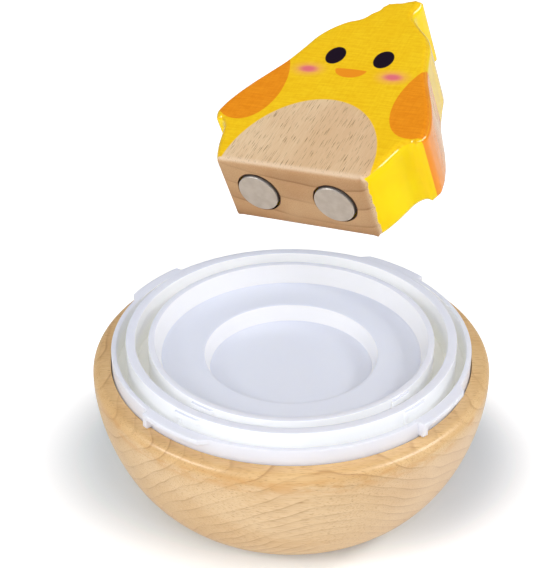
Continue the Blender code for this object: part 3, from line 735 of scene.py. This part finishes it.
def copying_tree():
    """Sets a copy of one object on each point, each turned about Z by its own seeded angle."""
    tree, nodes, given, out = new_growth("copies_on_points", {"Copied": "Object", "Seed": "Int"})
    copied = nodes.add("GeometryNodeObjectInfo", {"Object": given["Copied"]}).outputs["Geometry"]
    angle = nodes.add("FunctionNodeRandomValue", {"Seed": given["Seed"]}, data_type="FLOAT")
    spin = nodes.times(socket_of(angle.outputs, "VALUE"), math.tau)
    turn = nodes.add("ShaderNodeCombineXYZ", {"Z": spin}).outputs[0]
    copies = {"Points": given["Geometry"], "Instance": copied, "Rotation": turn}
    end_growth(nodes, given, out, nodes.add("GeometryNodeInstanceOnPoints", copies).outputs[0])
    return tree


def turned_mesh(profile, steps, material):
    """A closed turned mesh from an open line of (radius, height) points."""
    line = bpy.data.meshes.new("profile")
    points = [(p[0], 0.0, p[1]) for p in profile]
    line.from_pydata(points, [(i, i + 1) for i in range(len(points) - 1)], [])
    mesh = grown(turning, line, {"Steps": steps, "Weld": WELD, "Material": material})
    close_up(mesh)
    return mesh


def upright_bar(radius, bottom, top, place, sides=48):
    """A plain round bar as a cutter or a boss."""
    work = bmesh.new()
    size = {"radius1": radius, "radius2": radius, "depth": top - bottom}
    bmesh.ops.create_cone(work, cap_ends=True, segments=sides, **size)
    mesh = mesh_of(work, "bar")
    mesh.transform(Matrix.Translation((place.x, place.y, (top + bottom) / 2)))
    return mesh


# The bowl


def bowl_profile():
    """The pocket from its middle outwards, the rim, the shoulder and the side down to the foot."""
    pocket = TRAY_RADIUS + CLEARANCE
    deck = DECK_UNDER - CLEARANCE
    inner = eased(
        [
            (0.0, CAVITY_FLOOR, 0.0),
            (CAVITY_RADIUS, CAVITY_FLOOR, 0.4 * MM),
            (CAVITY_RADIUS, deck, 0.3 * MM),
            (pocket, deck, 0.3 * MM),
            (pocket, RIM, 0.3 * MM),
            (BOWL_RADIUS - BOWL_SHOULDER, RIM, 0.0),
        ]
    )
    shoulder = []
    shoulder_steps = 10
    for i in range(1, shoulder_steps + 1):
        turn = math.radians(90) * i / shoulder_steps
        across = BOWL_RADIUS - BOWL_SHOULDER * (1 - math.sin(turn))
        shoulder.append(Vector((across, RIM - BOWL_SHOULDER * (1 - math.cos(turn)))))
    side_top = RIM - BOWL_SHOULDER - BOWL_BAND
    side = []
    side_steps = 44
    for i in range(side_steps):
        turn = math.radians(90) * i / side_steps
        reach = math.cos(turn) ** (2 / WIDTH_POWER)
        drop = math.sin(turn) ** (2 / DEPTH_POWER)
        side.append(Vector((FOOT_RADIUS + (BOWL_RADIUS - FOOT_RADIUS) * reach, side_top * (1 - drop))))
    foot = eased([(side[-1].x, side[-1].y, 0.0), (FOOT_RADIUS, 0.0, 0.25 * MM), (0.0, 0.0, 0.0)])
    return inner + shoulder + side + foot[1:]


def make_bowl():
    """The bowl, with a stepped way for each of the tray's screws."""
    mesh = turned_mesh(bowl_profile(), 180, wood_finish)
    way = [
        (0.0, CAVITY_FLOOR + MM),
        (SCREW_WAY, CAVITY_FLOOR + MM),
        (SCREW_WAY, COUNTERBORE_DEPTH),
        (COUNTERBORE_RADIUS, COUNTERBORE_DEPTH),
        (COUNTERBORE_RADIUS, -MM),
        (0.0, -MM),
    ]
    cutters = []
    for node in TRAY_SCREWS:
        place = middle_of(node)
        cutters.append(moved(turned_mesh(way, 48, wood_finish), Matrix.Translation((place.x, place.y, 0.0))))
    mesh = combined(mesh, together(cutters), "DIFFERENCE")
    smooth_but_edges(mesh)
    bowl = add_piece("turned_bowl", mesh, wood_finish)
    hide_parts("wood_bowl")
    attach(bowl, "base")


# The tray. Each ring's lugs have the angles where they start, their span and their taper.

OUTER_LUGS = (in_radians(41.5, 131.5, 221.5, 311.5), *in_radians(21, 3))
MIDDLE_LUGS = (in_radians(49.5, 129.5, 229.5, 309.5), *in_radians(9, 1.2))
INNER_LUGS = (in_radians(49.5, 131.5, 229.5, 311.5), *in_radians(9, 1.2))
LUG_BLUR = math.radians(0.14)  # the easing of a lug's upright edges
LUG_SLOPE = 0.06 * MM  # how far the ledge above or below a lug slopes
LUG_DEPTH = 1.7 * MM
OUTER_REACH = 2.0 * MM
SMALL_REACH = 0.8 * MM
SMALL_DROP = 0.8 * MM
POST_SPAN = math.radians(2)
OUTER_POST = 0.97  # a post's reach as a share of its lug's
SMALL_POST = 0.95


def past(angle, start):
    """How far an angle is past another, with half a turn at most either way."""
    return (angle - start + math.pi) % math.tau - math.pi


def held(share):
    return min(max(share, 0.0), 1.0)


def ramp(angle, middle):
    """0 before an angle and 1 after it, eased over the lugs' blur."""
    share = held(past(angle, middle - LUG_BLUR) / (2 * LUG_BLUR))
    return share * share * (3 - 2 * share)


def lug_shares(angle, starts, span, taper):
    """How far a ring's lug and the post under it stand out at an angle: 0 for the bare wall."""
    lug = post = 0.0
    for start in starts:
        near = past(angle, start)
        if near < -LUG_BLUR or near > span + taper:
            continue
        rise = ramp(angle, start)
        lug = max(lug, min(rise, 1.0 - held((near - span) / taper)))
        if near <= POST_SPAN + LUG_BLUR:
            post = max(post, min(rise, 1.0 - ramp(angle, start + POST_SPAN)))
    return lug, post


def tray_angles():
    """Even angles, and close ones where a lug or a post begins and ends."""
    angles = [math.radians(2) * i for i in range(180)]
    for starts, span, taper in (OUTER_LUGS, MIDDLE_LUGS, INNER_LUGS):
        for start in starts:
            for edge in (start, start + POST_SPAN):
                angles += [edge + LUG_BLUR * share for share in (-1.6, -1.0, -0.5, 0.0, 0.5, 1.0, 1.6)]
            end = start + span
            angles += [end - LUG_BLUR, end, end + LUG_BLUR, end + taper, end + taper + LUG_BLUR]
    angles = sorted(a % math.tau for a in angles)
    kept = [angles[0]]
    for angle in angles[1:]:
        if angle - kept[-1] > math.radians(0.03):
            kept.append(angle)
    return kept


def small_ring(angle, lugs, radius, wall, top, inner_foot):
    """A ring with small lugs, from its inner foot over its top and down to the groove."""
    lug, post = lug_shares(angle, *lugs)
    flange = top - SMALL_DROP
    reach = radius + SMALL_REACH * lug
    under = radius + SMALL_REACH * SMALL_POST * post
    return [
        inner_foot,
        (radius - wall, top, RING_EDGE),
        (radius, top, RING_EDGE),
        (radius, flange + LUG_SLOPE, 0.0),
        (reach, flange, 0.15 * MM),
        (reach, flange - LUG_DEPTH, 0.15 * MM),
        (under, flange - LUG_DEPTH - LUG_SLOPE, 0.0),
        (under, GROOVE_FLOOR, GROOVE_ROUND),
    ]


def outer_ring(angle):
    """The outer ring, from its inner foot over its top and down to the bowl's rim."""
    lug, post = lug_shares(angle, *OUTER_LUGS)
    inner_side = TRAY_RADIUS - OUTER_WALL
    reach = TRAY_RADIUS + OUTER_REACH * lug
    under = TRAY_RADIUS + OUTER_REACH * OUTER_POST * post
    return [
        (inner_side, GROOVE_FLOOR, GROOVE_ROUND),
        (inner_side, RING_TOP, RING_EDGE),
        (reach, RING_TOP, RING_EDGE),
        (reach, RING_TOP - LUG_DEPTH, 0.25 * MM),
        (under, RING_TOP - LUG_DEPTH - LUG_SLOPE, 0.0),
        (under, RIM + CLEARANCE, 0.15 * MM),
        (TRAY_RADIUS, RIM + CLEARANCE - LUG_SLOPE, 0.0),
    ]


def tray_corners(angle):
    """The tray's section at an angle: the upper side from the middle out, then the underside."""
    mouth = RECESS_RADIUS + RECESS_FLARE
    recess = [
        (0.0, RECESS_FLOOR, 0.0),
        (RECESS_RADIUS * 0.6, RECESS_FLOOR, 0.0),
        (RECESS_RADIUS, RECESS_FLOOR, WELL_ROUND),
        (mouth + 0.1 * MM, WELL_FLOOR, 0.7 * MM),
    ]
    well_edge = (WELL_RADIUS, WELL_FLOOR, WELL_ROUND)
    inner = small_ring(angle, INNER_LUGS, INNER_RADIUS, INNER_WALL, INNER_TOP, well_edge)
    middle_foot = (MIDDLE_RADIUS - MIDDLE_WALL, GROOVE_FLOOR, GROOVE_ROUND)
    middle = small_ring(angle, MIDDLE_LUGS, MIDDLE_RADIUS, MIDDLE_WALL, MIDDLE_TOP, middle_foot)
    step_in = INNER_RADIUS - INNER_WALL
    cup = mouth + FLOOR_THICKNESS
    well_under = WELL_FLOOR - FLOOR_THICKNESS
    underside = [
        (TRAY_RADIUS, DECK_UNDER, 0.3 * MM),
        (step_in, DECK_UNDER, 0.3 * MM),
        (step_in, well_under, WELL_ROUND),
        (cup, well_under, WELL_ROUND),
        (cup - RECESS_FLARE, MAGNET_TOP, WELL_ROUND),
        (0.0, MAGNET_TOP, 0.0),
    ]
    return recess + inner + middle + outer_ring(angle) + underside


def make_tray():
    """The tray, with bosses under it that hold the magnets and take the screws."""
    points = []
    rows = []
    for angle in tray_angles():
        turn = Vector((math.cos(angle), math.sin(angle)))
        line = eased(tray_corners(angle))
        rows.append(range(len(points), len(points) + len(line)))
        points += [(turn.x * p.x, turn.y * p.x, p.y) for p in line]
    faces = []
    for row, following in zip(rows, rows[1:] + rows[:1]):
        for i in range(len(row) - 1):
            faces.append((row[i], row[i + 1], following[i + 1], following[i]))
    mesh = bpy.data.meshes.new("tray")
    mesh.from_pydata(points, [], faces)
    close_up(mesh)
    root = MAGNET_TOP + MM
    screw_end = MAGNET_TOP - 0.3 * MM
    posts = []
    holes = []
    for nodes, outer, bore, top, bottom in (
        (MAGNETS, MAGNET_BOSS, MAGNET_BORE, MAGNET_TOP + 0.3 * MM, POCKET_END),
        (COVER_SCREWS, COVER_SCREW_BOSS, COVER_SCREW_BORE, screw_end, POCKET_END),
        (TRAY_SCREWS, TRAY_SCREW_BOSS, SCREW_WAY, screw_end, CAVITY_FLOOR + CLEARANCE),
    ):
        for node in nodes:
            posts.append(upright_bar(outer, bottom, root, middle_of(node)))
            holes.append(upright_bar(bore, bottom - MM, top, middle_of(node)))
    mesh = combined(mesh, together(posts), "UNION", "MANIFOLD")
    mesh = combined(mesh, together(holes), "DIFFERENCE", "MANIFOLD")
    smooth_but_edges(mesh)
    tray = add_piece("moulded_tray", mesh, tray_finish)
    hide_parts("ring_tray")
    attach(tray, "base")


# The screws


def screw_mesh(radius, length):
    """A wood screw that points up, with its head's underside at height 0 and a cross in its head."""
    head = radius * 1.9
    depth = radius * 1.3
    pitch = radius * 0.9
    tip = radius * 1.6
    around = 24
    turns = [math.tau * i / around for i in range(around)]
    levels = 7 * int(length / pitch)
    rows = []
    work = bmesh.new()

    def add_row(reaches, height):
        """A ring of points at a height, each that far out."""
        points = [(reach * math.cos(turn), reach * math.sin(turn), height) for reach, turn in zip(reaches, turns)]
        rows.append([work.verts.new(point) for point in points])

    for level in range(levels + 1):
        height = length * (1 - level / levels)
        room = min(1.0, (length - height) / tip + 0.1)
        waves = [abs(((height / pitch - i / around) % 1.0) * 2 - 1) for i in range(around)]
        add_row([radius * room * (0.78 + 0.22 * wave) for wave in waves], height)
    head_corners = [
        (radius * 0.98, -0.01 * MM, 0.0),
        (head, -0.02 * MM, 0.08 * MM),
        (head, -depth * 0.45, 0.3 * MM),
        (head * 0.8, -depth * 0.88, 0.3 * MM),
        (head * 0.45, -depth, 0.2 * MM),
        (0.02 * MM, -depth, 0.0),
    ]
    for across, height in eased(head_corners):
        add_row([across] * around, height)
    for row, following in zip(rows, rows[1:]):
        for i in range(around):
            work.faces.new((row[i - 1], row[i], following[i], following[i - 1]))
    work.faces.new(rows[0])
    work.faces.new(rows[-1])
    bmesh.ops.recalc_face_normals(work, faces=work.faces)
    mesh = mesh_of(work, "screw")
    size = Matrix.Diagonal((head * 1.1, head * 0.24, depth * 0.9, 1.0))
    for turn in in_radians(0, 90):
        arm = bmesh.new()
        bmesh.ops.create_cube(arm, size=1.0)
        blade = mesh_of(arm, "blade")
        blade.transform(Matrix.Rotation(turn, 4, "Z") @ Matrix.Translation((0.0, 0.0, -depth * 0.9)) @ size)
        mesh = combined(mesh, blade, "DIFFERENCE")
    smooth_but_edges(mesh, 30)
    return mesh


def make_screws(name, nodes, radius, length, seed):
    """One piece with a screw at the place of each of the nodes."""
    head_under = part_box(nodes[0])[1].z - length
    places = [Vector((middle_of(node).x, middle_of(node).y, head_under)) for node in nodes]
    points = bpy.data.meshes.new("places")
    points.from_pydata(places, [], [])
    model = linked("screw", screw_mesh(radius, length))
    mesh = grown(copying, points, {"Copied": model, "Seed": seed, "Material": screw_finish})
    bpy.data.objects.remove(model)
    screws = add_piece(name, mesh, screw_finish)
    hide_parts(*nodes)
    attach(screws, "base")


# The chick

ARMPIT = Vector((25.7 * MM, 12.8 * MM))
WING_TIP = Vector((30.3 * MM, 17.3 * MM))
WING_THICKNESS = 2.65 * MM
WING_BOW = 1.3 * MM
NECK = Vector((21.0 * MM, 39.3 * MM))
OUTLINE_STEPS = 9
TUFT_ROOT = Vector((1.8 * MM, HEAD_HEIGHT + HEAD_RADIUS - 0.3 * MM))
TUFT_HALF = 5.6 * MM
TUFT_HEIGHT = 7.7 * MM


def beside(start, end, share, distance):
    """A point part of the way from start to end, and that far to the right of the way."""
    along = end - start
    out = Vector((along.y, -along.x)).normalized()
    return start.lerp(end, share) + out * distance


def chick_knots():
    """The outline round from the foot's right corner, as (place, is a corner) knots."""
    foot = Vector((FOOT_HALF, 0.0))
    reach = WING_TIP.x - ARMPIT.x
    side = [
        foot + Vector((-0.17, 0.18)) * CHICK_EDGE,
        foot + Vector((0.3, 0.7)) * CHICK_EDGE,
        foot.lerp(ARMPIT, 0.4) + Vector((0.27, 0.0)) * CHICK_EDGE,
        foot.lerp(ARMPIT, 0.77) + Vector((0.1, 0.0)) * CHICK_EDGE,
        ARMPIT,
        Vector((ARMPIT.x + reach * 0.34, WING_TIP.y - WING_THICKNESS)),
        Vector((ARMPIT.x + reach * 0.7, WING_TIP.y - WING_THICKNESS * 0.83)),
        WING_TIP,
    ]
    arch = ((0.11, 0.66), (0.28, 1.0), (0.54, 0.88), (0.8, 0.38))
    side += [beside(WING_TIP, NECK, share, WING_BOW * height) for share, height in arch] + [NECK]
    head_right = [head_point(angle) for angle in range(12, 56, 14)]
    head_left = [head_point(angle) for angle in range(112, 170, 14)]
    corner = Vector((FOOT_HALF - CHICK_EDGE, 0.0))
    knots = [(corner, True)] + [(p, False) for p in side + head_right + tuft_knots() + head_left]
    knots += [(Vector((-p.x, p.y)), False) for p in reversed(side)]
    return knots + [(Vector((-corner.x, 0.0)), True)]


def head_point(degrees):
    turn = math.radians(degrees)
    return Vector((HEAD_RADIUS * math.cos(turn), HEAD_HEIGHT + HEAD_RADIUS * math.sin(turn)))


def tuft_knots():
    """The leaf on the head: a narrow root, and a top with two lobes that leans to the right."""
    right = ((1.25, -0.14), (1.01, 0.04), (0.92, 0.29), (1.0, 0.57), (0.98, 0.85), (0.6, 1.0))
    dip = ((0.21, 0.94), (-0.1, 0.84), (-0.43, 0.8))
    left = ((-0.75, 0.71), (-0.95, 0.53), (-1.07, 0.32), (-1.3, 0.15))
    return [TUFT_ROOT + Vector((TUFT_HALF * aside, TUFT_HEIGHT * up)) for aside, up in right + dip + left]


def smooth_line(knots):
    """A closed line through the knots, round at all but the corners."""
    count = len(knots)
    slopes = []
    for i in range(count):
        before = knots[i][0] - knots[i - 1][0]
        after = knots[(i + 1) % count][0] - knots[i][0]
        slopes.append((before / before.length_squared + after / after.length_squared).normalized())
    line = []
    shares = [step / OUTLINE_STEPS for step in range(OUTLINE_STEPS)]
    for i in range(count):
        here, is_corner = knots[i]
        there, next_is_corner = knots[(i + 1) % count]
        if is_corner and next_is_corner:
            line += [here.lerp(there, t) for t in shares]
            continue
        way = there - here
        leaving = slopes[i] * way.length
        arriving = slopes[(i + 1) % count] * way.length
        if is_corner:
            leaving = way * 1.5 - arriving / 2
        if next_is_corner:
            arriving = way * 1.5 - leaving / 2
        for t in shares:
            line.append(
                here * (2 * t**3 - 3 * t**2 + 1)
                + leaving * (t**3 - 2 * t**2 + t)
                + there * (3 * t**2 - 2 * t**3)
                + arriving * (t**3 - t**2)
            )
    return line


def inward_normals(line):
    """The unit normal into the outline at each point, and how sharply the line turns there."""
    count = len(line)
    normals = []
    turns = []
    for i in range(count):
        before = (line[i] - line[i - 1]).normalized()
        after = (line[(i + 1) % count] - line[i]).normalized()
        normals.append(Vector((-before.y - after.y, before.x + after.x)).normalized())
        step = (line[(i + 1) % count] - line[i - 1]).length / 2
        turns.append((before.x * after.y - before.y * after.x) / step)
    return normals, turns


def edge_widths(turns, share_of_turn=0.62):
    """The rounding's width at each point: less where the outline turns tightly outwards."""
    count = len(turns)
    widths = [min(CHICK_EDGE, share_of_turn / max(turn, 1.0)) for turn in turns]
    for _ in range(12):
        widths = [min(w, (widths[i - 1] + w + widths[(i + 1) % count]) / 3) for i, w in enumerate(widths)]
    return widths


def edge_levels(steps=7):
    """The roundings from the front flat to the back one, as (inset, depth, side) levels.

    Inset and depth are shares of the rounding's width, and a guard level next to each rounding
    keeps the flat and the side shaded flat.
    """
    levels = [(1.35, 0.0)]
    for i in range(steps + 1):
        turn = math.radians(90) * i / steps
        levels.append((1 - math.sin(turn), 1 - math.cos(turn)))
    levels.append((0.0, 1.3))
    return [(*level, -1) for level in levels] + [(*level, 1) for level in reversed(levels)]


def make_chick():
    """The chick's block: its outline with rounded edges, and two bores in its foot."""
    line = smooth_line(chick_knots())
    normals, turns = inward_normals(line)
    widths = edge_widths(turns)
    half = CHICK_DEPTH / 2
    work = bmesh.new()
    rings = []
    for inset, depth, side in edge_levels():
        ring = []
        for place, normal, width in zip(line, normals, widths):
            moved_in = place + normal * width * inset
            ring.append(work.verts.new((moved_in.x, side * (half - width * depth), moved_in.y)))
        rings.append(ring)
    for near, far in zip(rings, rings[1:]):
        for i in range(len(line)):
            work.faces.new((near[i - 1], near[i], far[i], far[i - 1]))
    for ring in (rings[0], rings[-1]):
        rim = [work.edges.get((ring[i - 1], ring[i])) for i in range(len(ring))]
        bmesh.ops.triangle_fill(work, edges=rim, use_beauty=True)
    bmesh.ops.recalc_face_normals(work, faces=work.faces)
    bore_end = DISC_THICKNESS - DISC_PROUD + 0.3 * MM
    bores = [upright_bar(DISC_BORE, -MM, bore_end, place, 96) for place in DISC_PLACES]
    mesh = combined(mesh_of(work, "chick"), together(bores), "DIFFERENCE")
    mesh.transform(HELD)
    smooth_but_edges(mesh)
    chick = add_piece("chick_block", mesh, chick_finish)
    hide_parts("chick_body")
    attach(chick, "chick")


def make_discs():
    """The two steel discs in the foot, turned with a small round at their edges."""
    top = DISC_THICKNESS - DISC_PROUD
    corners = [
        (0.0, top, 0.0),
        (DISC_RADIUS, top, 0.3 * MM),
        (DISC_RADIUS, -DISC_PROUD, 0.35 * MM),
        (0.0, -DISC_PROUD, 0.0),
    ]
    disc = turned_mesh(eased(corners, 4), 96, disc_finish)
    for side, place in zip(("left", "right"), DISC_PLACES):
        mesh = moved(disc, HELD @ Matrix.Translation(place))
        smooth_but_edges(mesh)
        piece = add_piece("steel_disc_" + side, mesh, disc_finish)
        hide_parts("chick_disc_" + side)
        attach(piece, "chick")


# The stage. Each light has its place, its width and height, its power and the rays that miss it:
# the lights don't show in reflections, and the boxes show in nothing else.

LIGHTS = {
    "front_light": ((0.0, -1.06, 0.91), (0.6, 0.4), 4.9, "visible_glossy"),
    "left_light": ((-0.92, -0.62, 0.77), (0.32, 0.32), 3.2, "visible_glossy"),
    "right_light": ((1.09, 0.19, 0.77), (0.32, 0.32), 5.0, "visible_glossy"),
    "left_box": ((-0.94, -0.44, 0.95), (0.8, 0.4), 10.0, "visible_diffuse"),
    "right_box": ((1.01, -0.21, 1.0), (0.9, 0.4), 14.0, "visible_diffuse"),
}
FLOOR_LEVEL = -0.2 * MM
AIM = Vector((0.0, 0.0, 0.08))


def floor_material():
    """White, with a painted shadow round the bowl that is darker at its right, and a painted glow that brightens
    it further out.

    The light that the floor sends to the toy is even, and warm where it shows in reflections.
    """
    material, nodes, shader = new_material("white_floor")
    rays = nodes.add("ShaderNodeLightPath").outputs
    x, y, _ = nodes.parts(nodes.in_millimetres())
    back = nodes.times(nodes.minus(y, 13.0), 1.25)
    far = nodes.ramp(nodes.length(nodes.times(x, 0.92), back), 55.0, 84.0)
    # Painted glow, seen by the camera alone, away from the bowl.
    glow = nodes.times(rays["Is Camera Ray"], far, 0.38)
    # Painted shadow round the bowl, darker at its right.
    shaded = nodes.blend(nodes.ramp(x, 22.0, 55.0), (0.84, 0.91, 0.96, 1.0), (0.7, 0.75, 0.8, 1.0))
    seen = nodes.blend(far, shaded, (0.98, 0.98, 0.98, 1.0))
    tone = nodes.blend(rays["Is Camera Ray"], (0.9, 0.9, 0.9, 1.0), seen)
    feeds = {
        "Base Color": nodes.blend(rays["Is Glossy Ray"], tone, (0.88, 0.78, 0.66, 1.0)),
        "Emission Color": nodes.rgb(glow, glow, glow),
        "Emission Strength": 1.0,
        "Roughness": 0.9,
        "Specular IOR Level": 0.0,
    }
    nodes.feed(shader, feeds)
    return material


def make_sky():
    """A pale sky, brighter in front, dim in reflections and white where the camera sees it."""
    world = bpy.data.worlds.new("sky")
    bpy.context.scene.world = world
    world.use_nodes = True
    nodes = Nodes(world.node_tree)
    rays = nodes.add("ShaderNodeLightPath").outputs
    towards = nodes.parts(nodes.add("ShaderNodeTexCoord").outputs["Generated"])["Y"]
    light = nodes.blend(nodes.ramp(towards, -1.0, 1.0), (0.76, 0.77, 0.8, 1.0), (0.24, 0.245, 0.26, 1.0))
    light = nodes.blend(rays["Is Glossy Ray"], light, (0.2, 0.2, 0.21, 1.0))
    light = nodes.blend(rays["Is Camera Ray"], light, (1.0, 1.0, 1.0, 1.0))
    nodes.feed(world.node_tree.nodes["Background"].inputs, {"Color": light, "Strength": 1.0})
    bpy.context.scene.view_settings.view_transform = "Standard"


def make_stage():
    """A wide white floor, soft lights in front and at both sides, and the sky."""
    work = bmesh.new()
    bmesh.ops.create_grid(work, x_segments=4, y_segments=4, size=2.5)
    mesh = mesh_of(work, "floor")
    mesh.transform(Matrix.Translation((0.0, 0.0, FLOOR_LEVEL)))
    add_piece("floor", mesh, floor_material())
    for name, (place, size, power, missed_by) in LIGHTS.items():
        data = bpy.data.lights.new(name, "AREA")
        data.shape = "RECTANGLE"
        data.size, data.size_y = size
        data.energy = power
        light = linked(name, data)
        light.location = place
        light.rotation_euler = (AIM - Vector(place)).to_track_quat("-Z", "Y").to_euler()
        setattr(light, missed_by, False)
    make_sky()


def make_camera():
    """The photograph's view, set by its distance and height from the ring tray's top."""
    distance = 490.4 * MM
    elevation, yaw, pitch, roll = in_radians(33.935, 0.588, 2.007, -0.264)
    place = Vector((0.0, -math.cos(elevation), math.sin(elevation))) * distance
    ahead = -place.normalized()
    right = Vector((1.0, 0.0, 0.0))
    up = right.cross(ahead)
    turn = Matrix.Rotation(yaw, 3, up)
    ahead, right = turn @ ahead, turn @ right
    turn = Matrix.Rotation(pitch, 3, right)
    ahead, up = turn @ ahead, turn @ up
    turn = Matrix.Rotation(roll, 3, ahead)
    right, up = turn @ right, turn @ up
    data = bpy.data.cameras.new("camera")
    data.sensor_fit = "HORIZONTAL"
    data.sensor_width = 36.0
    data.lens = 104.73
    data.clip_start = 0.01
    data.clip_end = 20.0
    camera = linked("camera", data)
    view = Matrix((right, up, -ahead)).transposed().to_4x4()
    camera.matrix_world = Matrix.Translation(place + Vector((0.0, 0.0, RING_TOP))) @ view
    bpy.context.scene.camera = camera


beech = beech_group()
moulded = moulded_group()
metal = metal_group()
turning = turning_tree()
copying = copying_tree()

wood_finish = bowl_material()
tray_finish = tray_material()
cover_finish = cover_material()
chick_finish = chick_material()
nickel_finish = metal_material("nickel_plate", colour(214, 211, 205), colour(190, 186, 178), 0.18)
screw_finish = metal_material("zinc_plate", colour(196, 196, 194), colour(168, 168, 166), 0.3)
disc_finish = metal_material(
    "satin_disc", colour(210, 205, 200), colour(200, 194, 188), 0.42, place=HELD_FOOT, turn=HELD_TURN
)

make_camera()
make_stage()
make_bowl()
make_tray()
make_screws("cover_screws", COVER_SCREWS, radius=1.4 * MM, length=5.0 * MM, seed=3)
make_screws("tray_screws", TRAY_SCREWS, radius=2.0 * MM, length=28.0 * MM, seed=5)
make_chick()
make_discs()

for node, coating, slot in (
    ("base_magnet_left", nickel_finish, "nickel_plate"),
    ("base_magnet_right", nickel_finish, "nickel_plate"),
    ("magnet_cover", cover_finish, "cover_plastic"),
):
    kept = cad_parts[node]
    coat(kept.data, coating)
